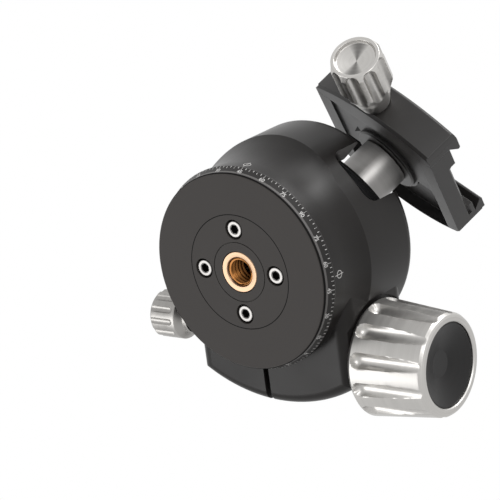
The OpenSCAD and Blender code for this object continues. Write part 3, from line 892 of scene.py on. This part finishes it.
def finishes() -> dict[str, Finish]:
    """Lists the object's finishes.

    Returns:
        Each finish by its short name.
    """
    black, second = (0.0118, 0.0106, 0.0100), (0.0150, 0.0136, 0.0130)
    anodised = partial(Finish, grain=5200.0, bump=5e-6)
    metal = partial(Finish, metallic=1.0, grain=6000.0, bump=2e-6)
    knob = partial(metal, rough=(0.34, 0.44), lathe_bump=3e-6, anisotropy=0.3)
    smooth = partial(Finish, grain=5000.0, bump=1e-6)
    made = [
        anodised("body_anodised", black, second, rough=(0.30, 0.38), specular=0.17, bump=6e-6, wear=0.2,
                 wear_colour=(0.04, 0.039, 0.038), bevel=0.0003),
        anodised("clamp_anodised", black, second, rough=(0.36, 0.46), specular=0.42, wear=0.6,
                 wear_colour=(0.09, 0.088, 0.086), bevel=0.0003),
        anodised("base_anodised", (0.035, 0.031, 0.0288), (0.042, 0.0375, 0.035), rough=(0.50, 0.58),
                 specular=0.2, wear=0.4, wear_colour=(0.11, 0.105, 0.10), bevel=0.00025,
                 lathe=Lathe.PAN, lathe_bump=2e-6),
        anodised("scale_anodised", black, second, rough=(0.36, 0.44), specular=0.26, bump=4e-6, wear=0.4,
                 wear_colour=(0.08, 0.078, 0.076), bevel=0.0002, lathe=Lathe.PAN, lathe_bump=2e-6),
        knob("main_knob_aluminium", (0.43, 0.42, 0.404), (0.51, 0.498, 0.48), lathe=Lathe.MAIN),
        # Painted shade: the pan knob is the same aluminium as the main knob, given a darker copy because it
        # faces the left lamp.
        knob("pan_knob_aluminium_painted_darker", (0.29, 0.282, 0.27), (0.37, 0.36, 0.346), lathe=Lathe.PAN_LOCK),
        # The clamp knob's faced end carries painted reflection wedges (the fan).
        knob("clamp_knob_aluminium", (0.46, 0.448, 0.43), (0.56, 0.547, 0.528), rough=(0.33, 0.43),
             lathe=Lathe.CLAMP, anisotropy=0.5, fan=0.9, fan_angle=35.4),
        metal("stem_steel", (0.23, 0.224, 0.218), (0.28, 0.273, 0.266), rough=(0.37, 0.43), bump=1e-6,
              lathe=Lathe.STEM, lathe_bump=2e-6, anisotropy=0.2),
        metal("bright_steel", (0.19, 0.184, 0.177), (0.25, 0.242, 0.234), rough=(0.22, 0.34), grain=7000.0,
              bevel=0.0001),
        metal("spring_steel", (0.20, 0.20, 0.21), (0.30, 0.30, 0.31), rough=(0.4, 0.5), grain=5000.0,
              bump=3e-6),
        metal("insert_bronze", (0.28, 0.185, 0.118), (0.37, 0.255, 0.17), rough=(0.26, 0.38),
              lathe=Lathe.PAN, lathe_bump=3e-6, bevel=0.00012),
        metal("thread_bronze", (0.15, 0.058, 0.014), (0.30, 0.135, 0.045), rough=(0.30, 0.45), grain=5000.0,
              bump=3e-6),
        metal("shoe_brass", (0.58, 0.44, 0.20), (0.68, 0.52, 0.26), rough=(0.35, 0.5), grain=4000.0,
              bump=4e-6),
        anodised("ball_anodised", (0.014, 0.014, 0.0145), (0.018, 0.018, 0.0185), rough=(0.22, 0.30),
                 grain=7000.0, bump=2e-6, lathe=Lathe.STEM, lathe_bump=1e-6),
        smooth("seat_plastic", (0.050, 0.048, 0.045), (0.062, 0.060, 0.056), rough=(0.45, 0.55), grain=2500.0,
               bump=4e-6),
        smooth("cap_plastic", (0.0105, 0.0100, 0.0100), (0.0140, 0.0134, 0.0134), rough=(0.34, 0.42),
               specular=0.24, bump=3e-6, lathe=Lathe.MAIN, lathe_bump=2e-6),
        smooth("engraving", (0.50, 0.49, 0.48), (0.60, 0.59, 0.58), rough=(0.6, 0.7)),
        # Near black: the clamp's alignment mark, and painted shade in the screw sockets, on the disc's rim
        # wall and in the cover's gap.
        smooth("dark_mark_and_painted_shade", (0.0022, 0.0020, 0.0020), (0.0036, 0.0034, 0.0034), rough=(0.6, 0.7),
               specular=0.1),
        # Painted highlight: a lighter band along the graduated ring's lower edge.
        smooth("painted_edge_highlight", (0.085, 0.080, 0.078), (0.105, 0.100, 0.097), rough=(0.4, 0.5),
               lathe=Lathe.PAN, lathe_bump=1e-6),
    ]
    return {finish.name: finish for finish in made}


# ---------------------------------------------------------------- sub-assemblies


@dataclass
class Workshop:
    """What every sub-assembly needs to make and place its pieces."""

    axes: Axes
    effects: Effects
    patterns: Patterns
    palette: dict[str, Finish] = field(default_factory=finishes)
    materials: dict[str, Material] = field(default_factory=dict)

    def finish(self, name: str) -> Material:
        """Gives a finish's material, made the first time it is asked for.

        Args:
            name: The finish's name.

        Returns:
            The material.
        """
        if name not in self.materials:
            self.materials[name] = self.palette[name].build(self.effects, self.axes)
        return self.materials[name]

    def dress(self, nodes: dict[str, str]) -> None:
        """Gives CAD nodes their finishes.

        Args:
            nodes: The finish's name for each node.
        """
        for node, finish in nodes.items():
            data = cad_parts[node].data
            data.materials.clear()
            data.materials.append(self.finish(finish))
            LOG.info("dressed %s in %s", node, finish)

    def place(
        self,
        made: Object,
        finish: str,
        body: str,
        slot: str,
        *stands_for: str,
        at: Matrix = Matrix.Identity(4),
        sharp: float = 40.0,
    ) -> None:
        """Settles a piece in its place and lets it ride on a body.

        Args:
            made: The piece.
            finish: The name of its finish.
            body: The body it moves with.
            slot: The record's material slot; not used.
            *stands_for: CAD nodes that it replaces.
            at: The matrix from its frame into the object's frame.
            sharp: Angle in degrees past which an edge stays crisp.
        """
        settle(made, at, self.finish(finish), sharp)
        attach(made, body)
        if stands_for:
            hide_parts(*stands_for)
        LOG.info("placed %s on %s, %d faces", made.name, body, len(made.data.polygons))


@dataclass
class Base:
    """Fixed base: disc, graduated ring, cover plate, threaded insert and screws."""

    shop: Workshop
    screw_pcd: float = 28.5
    screw_head_r: float = 2.75
    screw_head_h: float = 2.8
    screw_sink: float = 0.25
    screw_length: float = 8.35
    hex_r: float = 1.6
    ring_low: tuple[float, float] = (32.9, 0.95)
    ring_high: tuple[float, float] = (34.2, 4.0)
    number_step: int = 15
    first_number_az: float = 6.6
    highest_at: int = 315
    insert_r: float = 6.9
    insert_h: float = 8.2
    flange: tuple[float, float, float] = (8.8, 4.2, 5.6)
    # Painted light bands: shade on the disc's rim wall, a highlight on the ring's lower edge, shade in the
    # cover's gap.
    rim_line: tuple[tuple[float, float], ...] = ((32.72, 0.22), (33.0, 0.5), (33.0, 0.93))
    edge_line: tuple[tuple[float, float], ...] = ((32.921, 1.0), (33.22, 1.7))
    gap_line: tuple[tuple[float, float], ...] = ((19.06, 0.0), (19.38, 0.0))
    line_depth: float = 0.04
    line_proud: float = 0.012
    thread_crest: float = 4.0
    thread_root: float = 4.66
    thread_bore: float = 4.75
    thread_low: float = 0.75
    tick_top: float = 0.97
    tick_depths: tuple[float, float] = (-0.04, 0.015)
    text_size: float = 1.9
    text_thickness: float = 0.02
    text_weight: float = 0.03
    text_r: float = 33.5
    text_share: float = 0.36

    def build(self) -> None:
        """Makes and dresses every piece."""
        self.shop.dress({
            "base_disc": "base_anodised",
            "scale_ring": "scale_anodised",
            "cover_plate": "base_anodised",
            "pan_spindle": "bright_steel",
            "lower_pan_washer": "seat_plastic",
        })
        self.screws()
        self.insert()
        self.bands()
        self.ticks()
        self.numbers()

    def screws(self) -> None:
        """Makes the socket head screws from one turned screw, copied around the base, with a near-black cup
        in each socket as painted shade.
        """
        head, top, low = self.screw_head_r, self.screw_sink + self.screw_head_h, self.screw_sink
        wide, tip = self.hex_r, top + self.screw_length
        profile = rounded([
            (wide * 0.96, low + 1.7, 0.0), (wide * 0.98, low + 0.14, 0.0), (wide + 0.14, low, 0.05),
            (head, low, 0.32), (head, top, 0.1), (1.5, top, 0.0), (1.5, tip - 0.3, 0.0), (1.2, tip, 0.0),
            (0.0, tip, 0.0),
        ])
        skin = revolve("cover_screw_set", [(0.0, low + 1.75)] + profile, segments=48)
        # A near-black hexagonal cup inside each socket: painted shade in the recess.
        painted_socket_shade = revolve("cover_screw_socket_painted_shade", [
            (0.0, low + 1.74), (wide * 0.95, low + 1.69), (wide * 0.95, low + 0.2),
            (wide * 0.9, low + 0.2), (wide * 0.9, low + 1.6), (0.0, low + 1.6),
        ], segments=48)
        for piece, finish, nodes in ((skin, "bright_steel", ("cover_screws",)), (painted_socket_shade, "dark_mark_and_painted_shade", ())):
            self.hexagonal(piece, low + 1.76)
            made = baked(piece, self.shop.patterns.ring_of, {
                "Count": 4, "Radius": self.screw_pcd / 2 * MM, "First": 0.0,
                "Finish": self.shop.finish(finish),
            })
            self.shop.place(made, finish, "base", "bright_steel", *nodes, sharp=35.0)

    def hexagonal(self, piece: Object, deep: float) -> None:
        """Draws a turned socket's round wall in to a hexagon.

        Args:
            piece: The turned piece, with its axis along Z.
            deep: How far down the socket reaches, in millimetres.
        """
        half_side = math.pi / 6
        for vertex in piece.data.vertices:
            flat = math.hypot(vertex.co.x, vertex.co.y)
            if ON_AXIS < flat < self.hex_r * MM and vertex.co.z < deep * MM:
                off = (math.atan2(vertex.co.y, vertex.co.x) + half_side) % (2 * half_side) - half_side
                reach = math.cos(half_side) / math.cos(off)
                vertex.co.x, vertex.co.y = vertex.co.x * reach, vertex.co.y * reach

    def insert(self) -> None:
        """Makes the bronze insert with a cut screw thread."""
        turns, across, around = 5, 8, 40
        mesh = bmesh.new()
        # The strip has a turn more at each end, which the helix flattens onto the thread's end.
        steps = (turns + 2) * around
        rows = [
            [mesh.verts.new((i / around - 1.0, j / across, 0.0)) for i in range(steps + 1)]
            for j in range(across + 1)
        ]
        for row, following in zip(rows, rows[1:]):
            for i in range(steps):
                mesh.faces.new((row[i], row[i + 1], following[i + 1], following[i]))
        strip = as_object("insert_thread", mesh)
        thread = baked(strip, self.shop.patterns.helix, {
            "Low": self.thread_low * MM, "High": self.insert_h * MM,
            "Crest": self.thread_crest * MM, "Root": self.thread_root * MM,
            "Finish": self.shop.finish("thread_bronze"),
        })
        flange_r, flange_low, flange_high = self.flange
        r, bore, low = self.insert_r, self.thread_bore, self.thread_low
        shell = revolve("insert_shell", rounded([
            (bore, low, 0.0), (bore + 0.3, 0.12, 0.1), (r - 0.25, 0.0, 0.15), (r, 0.25, 0.1),
            (r, flange_low, 0.0), (flange_r, flange_low, 0.0), (flange_r, flange_high, 0.0),
            (r, flange_high, 0.0), (r, self.insert_h, 0.0), (bore, self.insert_h, 0.0), (bore, low, 0.0),
        ]), segments=96)
        self.shop.place(thread, "thread_bronze", "base", "insert_bronze")
        self.shop.place(shell, "insert_bronze", "base", "insert_bronze", "thread_insert")

    def bands(self) -> None:
        """Makes thin bands of painted light: shade on the disc's rim wall and in the cover's gap, and a
        highlight along the ring's lower edge.
        """
        for name, finish, slot, corners in (
            ("disc_rim_painted_shade", "dark_mark_and_painted_shade", "base_anodised", self.rim_line),
            ("ring_edge_painted_highlight", "painted_edge_highlight", "body_anodised", self.edge_line),
            ("cover_gap_painted_shade", "dark_mark_and_painted_shade", "base_anodised", self.gap_line),
        ):
            shifts = []
            for (r0, z0), (r1, z1) in zip(corners, corners[1:]):
                along = Vector((r1 - r0, z1 - z0)).normalized()
                shifts.append(Vector((along.y, -along.x)))
            shifts = [shifts[0]] + [(a + b).normalized() for a, b in zip(shifts, shifts[1:])] + [shifts[-1]]
            outer, inner = (
                [(r + out.x * height, z + out.y * height) for (r, z), out in zip(corners, shifts)]
                for height in (self.line_proud, -self.line_depth)
            )
            made = revolve(name, outer + inner[::-1] + outer[:1], segments=256)
            self.shop.place(made, finish, "base", slot, sharp=30.0)

    def on_ring(self, share: float, angle: float, proud: float) -> Vector:
        """Gives a point on the graduated ring.

        Args:
            share: How far up the slope, from 0 to 1.
            angle: Direction around the panning axis.
            proud: Height above the surface in millimetres.

        Returns:
            The point in metres.
        """
        (r0, z0), (r1, z1) = self.ring_low, self.ring_high
        slope = Vector((z1 - z0, -(r1 - r0))).normalized() * proud
        r, z = r0 + (r1 - r0) * share + slope.x, z0 + (z1 - z0) * share + slope.y
        return Vector((r * math.cos(angle), r * math.sin(angle), z)) * MM

    def ticks(self) -> None:
        """Makes the graduation: long lines at the numbers, middle ones at 5 degrees, short ones between."""
        for name, every, low, width in (
            ("ticks_short", 2.5, 0.76, 0.22),
            ("ticks_middle", 5.0, 0.68, 0.22),
            ("ticks_long", self.number_step, 0.60, 0.24),
        ):
            ends = []
            for depth in self.tick_depths:
                ends.append([])
                for share, side in ((low, -1), (low, 1), (self.tick_top, 1), (self.tick_top, -1)):
                    spot = self.on_ring(share, 0.0, depth)
                    spot.y += side * width / 2 * MM
                    ends[-1].append(spot)
            made = baked(prism(name, *ends), self.shop.patterns.ring_of, {
                "Count": round(360 / every), "Radius": 0.0, "First": math.radians(self.first_number_az),
                "Finish": self.shop.finish("engraving"),
            })
            self.shop.place(made, "engraving", "base", "body_anodised")

    def numbers(self) -> None:
        """Makes the plain degree numbers, which rise to 90 and fall again twice around the ring."""
        joined = bmesh.new()
        for turned in range(0, 360, self.number_step):
            degrees = 90 - abs((turned - self.highest_at + 90) % 180 - 90)
            joined.from_mesh(self.number(str(degrees), math.radians(self.first_number_az + turned)))
        made = as_object("scale_numbers", joined, smooth=False)
        self.shop.place(made, "engraving", "base", "body_anodised")

    def number(self, words: str, angle: float) -> Mesh:
        """Makes one number on the slope of the ring.

        Args:
            words: The digits.
            angle: Its direction around the panning axis.

        Returns:
            The number's mesh, in place.
        """
        curve = bpy.data.curves.new("number", "FONT")
        curve.body, curve.size, curve.align_x, curve.align_y = words, self.text_size, "CENTER", "CENTER"
        curve.extrude, curve.resolution_u, curve.offset = self.text_thickness, 3, self.text_weight
        text = linked("number", curve)
        bpy.context.view_layer.update()
        data = bpy.data.meshes.new_from_object(text.evaluated_get(bpy.context.evaluated_depsgraph_get()))
        bpy.data.objects.remove(text)
        slope = math.hypot(self.ring_high[0] - self.ring_low[0], self.ring_high[1] - self.ring_low[1])
        for vertex in data.vertices:
            across, up, out = vertex.co
            vertex.co = self.on_ring(self.text_share + up / slope, angle + across / self.text_r, out)
        return data


@dataclass
class Housing:
    """Turning housing with its inner rings, seats and index marks."""

    shop: Workshop
    neck_r: float = 33.95
    mark_z: float = 7.4
    mark_r: float = 1.3
    mark_az: tuple[float, ...] = (0.0, -85.0)
    mark_width: float = 0.2
    mark_line: tuple[float, float] = (-2.2, 2.0)
    mark_sunk: float = -0.03
    mark_proud: float = 0.015
    line_proud: float = 0.016

    def build(self) -> None:
        """Makes and dresses every piece."""
        self.shop.dress({
            "housing": "body_anodised",
            "bearing_ring": "bright_steel",
            "upper_pan_washer": "seat_plastic",
            "lower_ball_seat": "seat_plastic",
            "upper_ball_seat": "seat_plastic",
            "seat_spring": "spring_steel",
            "pan_brake_shoe": "shoe_brass",
            "main_knob_washer": "bright_steel",
        })
        for index, az in enumerate(self.mark_az):
            self.index_mark(index, math.radians(az))

    def on_neck(self, across: float, up: float, out: float, angle: float) -> Vector:
        """Gives a point on the neck.

        Args:
            across: Distance around the neck, in millimetres.
            up: Height above the mark's centre.
            out: Distance off the surface.
            angle: The mark's direction.

        Returns:
            The point in metres.
        """
        turn = angle + across / self.neck_r
        r = self.neck_r + out
        return Vector((r * math.cos(turn), r * math.sin(turn), self.mark_z + up)) * MM

    def index_mark(self, index: int, angle: float) -> None:
        """Makes one index mark: a ring with a line through it.

        Args:
            index: Its number.
            angle: Its direction around the panning axis.
        """
        mesh = bmesh.new()
        parts = 40
        spots = [(math.cos(TURN * i / parts), math.sin(TURN * i / parts)) for i in range(parts)]
        outer, inner = self.mark_r, self.mark_r - self.mark_width
        sunk, proud = self.mark_sunk, self.mark_proud
        rows = [
            [mesh.verts.new(self.on_neck(r * x, r * y, out, angle)) for x, y in spots]
            for r, out in ((outer, sunk), (outer, proud), (inner, proud), (inner, sunk))
        ]
        for low, high in zip(rows, rows[1:] + rows[:1]):
            bridge(mesh, low, high)
        low, high = self.mark_line
        half = self.mark_width / 2
        line = ((-half, low), (half, low), (half, high), (-half, high))
        add_prism(mesh, *(
            [self.on_neck(across, up, out, angle) for across, up in line] for out in (sunk, self.line_proud)
        ))
        made = as_object(f"index_mark_{index + 1}", mesh, smooth=False)
        self.shop.place(made, "engraving", "housing", "body_anodised")


@dataclass
class Knob:
    """A turned, fluted knob in its own frame, with Z along its screw, away from the housing.

    Attributes:
        shop: The workshop.
        name: The piece's name.
        body: The body it turns with.
        node: The CAD node that it replaces.
        lathe: Its axis.
        finish: Its finish.
        profile: Radius, height and corner radius for each corner, in millimetres.
        flutes: How many flutes it has.
        cutter_r: Radius of the ball-nosed cutter that makes them.
        cutter_at: Distance of the cutter's centre from the axis.
        start: Height at which the cutter starts.
        end: Height at which it leaves.
        phase: Angle of the first flute, in degrees.
        edge: How softly a flute meets the skin.
        step: Longest side of the drawn profile.
        segments: Steps around.
    """

    shop: Workshop
    name: str
    body: str
    node: str
    lathe: Lathe
    finish: str
    profile: list[tuple[float, float, float]]
    flutes: int
    cutter_r: float
    cutter_at: float
    start: float
    end: float
    phase: float
    edge: float = 0.25
    step: float = 0.5
    segments: int = 432

    def build(self) -> None:
        """Makes the knob and puts it in place of its solid."""
        skin = revolve(self.name, refine(rounded(self.profile, parts=5), self.step), self.segments)
        made = baked(skin, self.shop.patterns.flutes, {
            "Flutes": float(self.flutes), "Cutter Radius": self.cutter_r * MM,
            "Cutter Centre": self.cutter_at * MM, "Start": self.start * MM, "End": self.end * MM,
            "Phase": math.radians(self.phase), "Edge": self.edge * MM,
            "Finish": self.shop.finish(self.finish),
        })
        at = self.shop.axes.frame(self.lathe)
        self.shop.place(made, self.finish, self.body, "knob_aluminium", self.node, at=at, sharp=32.0)


@dataclass
class MainLock:
    """Main clamping knob with its black dished cap, screw and cap bolt."""

    shop: Workshop
    inner: float = 32.0
    outer: float = 59.1
    big: float = 19.3
    small: float = 16.75
    cap_r: float = 13.8
    cap_room: float = 5.6
    cap_sink: float = 0.8
    cap_h: float = 3.2
    cap_skin: float = 0.8
    bore: float = 4.0

    def build(self) -> None:
        """Makes and dresses every piece."""
        self.shop.dress({"main_screw": "bright_steel", "main_knob_bolt": "bright_steel"})
        small, low, high = self.small, self.inner, self.outer
        recess, deep = self.cap_r + 0.1, high - self.cap_room
        Knob(
            self.shop, "main_knob_turned", "main_lock", "main_knob", Lathe.MAIN, "main_knob_aluminium",
            [(self.bore, low, 0.0), (self.big - 1.2, low, 0.3), (self.big, low + 1.4, 0.5),
             (small + 0.15, high - 1.4, 0.4), (small - 0.5, high - 0.4, 0.3), (small - 1.2, high, 0.3),
             (recess + 0.35, high, 0.2), (recess, high - 0.4, 0.1), (recess, deep, 0.1),
             (self.bore, deep, 0.0), (self.bore, low, 0.0)],
            flutes=12, cutter_r=2.6, cutter_at=small + 2.3, start=low + 4.4, end=PAST_THE_END, phase=13.0,
        ).build()
        self.cap()

    def cap(self) -> None:
        """Makes the cap, a shallow cone that sinks to a small flat."""
        rim = self.outer - self.cap_sink
        floor = rim - self.cap_h
        back = floor - self.cap_skin
        made = revolve("main_knob_cap_dish", refine(rounded([
            (0.0, back, 0.0), (4.2, back, 0.0), (self.cap_r, rim - 1.2, 0.0), (self.cap_r, rim, 0.25),
            (self.cap_r - 0.6, rim, 0.3), (4.4, floor, 0.5), (0.0, floor, 0.0),
        ], parts=6), step=0.8), segments=128)
        at = self.shop.axes.frame(Lathe.MAIN)
        self.shop.place(made, "cap_plastic", "main_lock", "cap_plastic", "main_knob_cap", at=at, sharp=50.0)


@dataclass
class PanLock:
    """Panning lock knob and screw."""

    shop: Workshop
    inner: float = 30.3
    outer: float = 44.0
    radius: float = 7.9

    def build(self) -> None:
        """Makes and dresses every piece."""
        self.shop.dress({"pan_lock_screw": "bright_steel"})
        r, low, high = self.radius, self.inner, self.outer
        # Its finish is a darker copy of the knob aluminium: painted shade.
        Knob(
            self.shop, "pan_knob_turned", "pan_lock", "pan_lock_knob", Lathe.PAN_LOCK, "pan_knob_aluminium_painted_darker",
            [(2.5, low, 0.0), (r - 2.4, low, 0.2), (r - 2.4, low + 1.4, 0.3), (r, low + 3.2, 0.4),
             (r, high - 0.9, 0.3), (r - 0.9, high, 0.3), (r - 1.2, high, 0.1), (0.0, high - 2.0, 0.0)],
            flutes=12, cutter_r=1.3, cutter_at=r + 0.6, start=low + 5.4, end=PAST_THE_END, phase=0.0,
            edge=0.12, step=0.3, segments=480,
        ).build()


@dataclass
class BallAndStem:
    """Ball and stem."""

    shop: Workshop

    def build(self) -> None:
        """Dresses the ball, the stem and its collar."""
        self.shop.dress({"ball": "ball_anodised", "stem": "stem_steel", "stem_collar": "clamp_anodised"})


@dataclass
class Clamp:
    """Dovetail clamp: body, moving jaw, guide pins, screw, knob and alignment mark."""

    shop: Workshop
    knob_inner: float = 26.8
    knob_outer: float = 51.3
    knob_r: float = 9.0
    face_r: float = 8.05
    mark_tips: tuple[tuple[float, float], ...] = ((8.1, -12.1), (2.3, -15.8), (6.2, -11.2))
    step_height: float = 0.8
    mark_depth: float = 0.03
    mark_proud: float = 0.012

    def build(self) -> None:
        """Makes and dresses every piece."""
        self.shop.dress({
            "clamp_body": "clamp_anodised",
            "moving_jaw": "clamp_anodised",
            "clamp_bolt": "bright_steel",
            "jaw_springs": "spring_steel",
            "jaw_guide_pins": "bright_steel",
            "clamp_screw": "bright_steel",
            "clamp_knob_washer": "bright_steel",
        })
        self.mark()
        r, face, low, high = self.knob_r, self.face_r, self.knob_inner, self.knob_outer
        Knob(
            self.shop, "clamp_knob_turned", "clamp_lock", "clamp_knob", Lathe.CLAMP, "clamp_knob_aluminium",
            [(2.5, low, 0.0), (r - 4.1, low, 0.3), (r - 1.9, low + 7.2, 0.8), (r, low + 11.2, 1.2),
             (r, high - 2.3, 0.6), (face, high, 0.3), (face - 1.1, high, 0.2), (face - 1.6, high - 1.2, 0.3),
             (0.0, high - 2.2, 0.0)],
            flutes=9, cutter_r=2.3, cutter_at=r + 0.3, start=low + 5.0, end=49.1, phase=36.0,
            edge=0.15, step=0.35,
        ).build()

    def mark(self) -> None:
        """Makes the small alignment triangle on the underside."""
        ends = (
            [Vector((x * MM, y * MM, (self.step_height + up) * MM)) for x, y in self.mark_tips]
            for up in (self.mark_depth, -self.mark_proud)
        )
        made = prism("clamp_mark", *ends)
        self.shop.place(made, "dark_mark_and_painted_shade", "clamp_mount", "clamp_anodised", at=self.shop.axes.clamp())


# ---------------------------------------------------------------- camera, floor and light


@dataclass
class Studio:
    """Camera, floor, world and lamps."""

    target: Vector = field(default_factory=lambda: Vector((0.008, 0.0, 0.036)))
    eye: Vector = field(default_factory=lambda: Vector((0.461786, -0.233046, -0.562538)))
    right: Vector = field(default_factory=lambda: Vector((0.79457, 0.12642, 0.59387)))
    up: Vector = field(default_factory=lambda: Vector((-0.08247, -0.94655, 0.31184)))
    lens: float = 172.57
    sensor: float = 36.0
    clip: tuple[float, float] = (0.01, 20.0)
    floor_size: float = 3.0
    floor_z: float = -0.2 * MM
    soft_light: float = 0.46

    def build(self) -> None:
        """Makes the whole studio."""
        bpy.context.scene.view_settings.view_transform = "Standard"
        self.camera()
        self.world()
        self.floor()
        self.lamp("top_lamp", (0.42, 0.93, 0.02), size=0.48, power=8.0)
        self.lamp("left_lamp", (-0.88, -0.43, 0.19), size=0.5, power=3.2)
        self.lamp("front_lamp", (0.28, 0.36, 0.95), size=0.42, power=3.6)

    def axes(self) -> tuple[Vector, Vector, Vector]:
        """Gives the camera's right, up and back, square to each other."""
        right = self.right.normalized()
        back = right.cross(self.up).normalized()
        return right, back.cross(right), back

    def camera(self) -> None:
        """Makes a camera that looks up at the base from the side."""
        data = bpy.data.cameras.new("camera")
        data.lens, data.sensor_width = self.lens, self.sensor
        data.clip_start, data.clip_end = self.clip
        made = linked("camera", data)
        made.matrix_world = Matrix.Translation(self.eye) @ Matrix(self.axes()).transposed().to_4x4()
        bpy.context.scene.camera = made

    def world(self) -> None:
        """Makes a white surround for the camera and for reflections, and a softer one for shading."""
        world = bpy.data.worlds.new("surround")
        bpy.context.scene.world = world
        graph = fresh(world)
        path = graph.node("ShaderNodeLightPath")
        seen = graph.math("MAXIMUM", path.outputs["Is Camera Ray"], path.outputs["Is Glossy Ray"])
        seen = graph.math("MAXIMUM", seen, path.outputs["Is Transmission Ray"])
        soft, white = (
            graph.node("ShaderNodeBackground", {"Strength": strength, "Color": (1.0, 1.0, 1.0, 1.0)})
            for strength in (self.soft_light, 1.0)
        )
        graph.surface(seen, soft, white, target="ShaderNodeOutputWorld")

    def floor(self) -> None:
        """Makes a pale floor that the camera sees from above, and that light and views pass from below."""
        half = self.floor_size / 2
        corners = [(x * half, y * half, self.floor_z) for x, y in ((-1, -1), (1, -1), (1, 1), (-1, 1))]
        data = bpy.data.meshes.new("floor")
        data.from_pydata(corners, [], [(0, 1, 2, 3)])
        made = linked("floor", data)
        material = bpy.data.materials.new("floor_paper")
        graph = fresh(material)
        where = graph.source("ShaderNodeTexCoord", "Object")
        fleck = graph.ramp(graph.noise(where, 900.0, 3.0), *FINE_SPAN)
        tone = graph.blend(fleck, (0.80, 0.80, 0.80, 1.0), (0.83, 0.83, 0.83, 1.0))
        paper = graph.node("ShaderNodeBsdfDiffuse", {"Color": tone})
        clear = graph.node("ShaderNodeBsdfTransparent")
        unseen = 1.0 - graph.source("ShaderNodeLightPath", "Is Camera Ray")
        hidden = graph.math("MAXIMUM", graph.source("ShaderNodeNewGeometry", "Backfacing"), unseen)
        graph.surface(hidden, paper, clear, target="ShaderNodeOutputMaterial")
        data.materials.append(material)

    def lamp(self, name: str, offset: tuple[float, float, float], size: float, power: float) -> None:
        """Adds a soft square lamp.

        Args:
            name: Its name.
            offset: Its place from the target along the camera's right, up and back, in metres.
            size: The side of its square, in metres.
            power: Its power in watts.
        """
        data = bpy.data.lights.new(name, "AREA")
        data.size, data.energy, data.shape = size, power, "SQUARE"
        right, up, back = self.axes()
        place = self.target + right * offset[0] + up * offset[1] + back * offset[2]
        turn = (place - self.target).to_track_quat("Z", "Y").to_matrix().to_4x4()
        linked(name, data).matrix_world = Matrix.Translation(place) @ turn


def main() -> None:
    """Builds the object's sub-assemblies in order."""
    logging.basicConfig(level=logging.INFO, format="%(name)s %(message)s")
    shop = Workshop(Axes(), Effects(), Patterns())
    for assembly in (Base, Housing, MainLock, PanLock, BallAndStem, Clamp):
        assembly(shop).build()
        LOG.info("built %s", assembly.__name__)
    Studio().build()


if __name__ == "__main__":
    main()
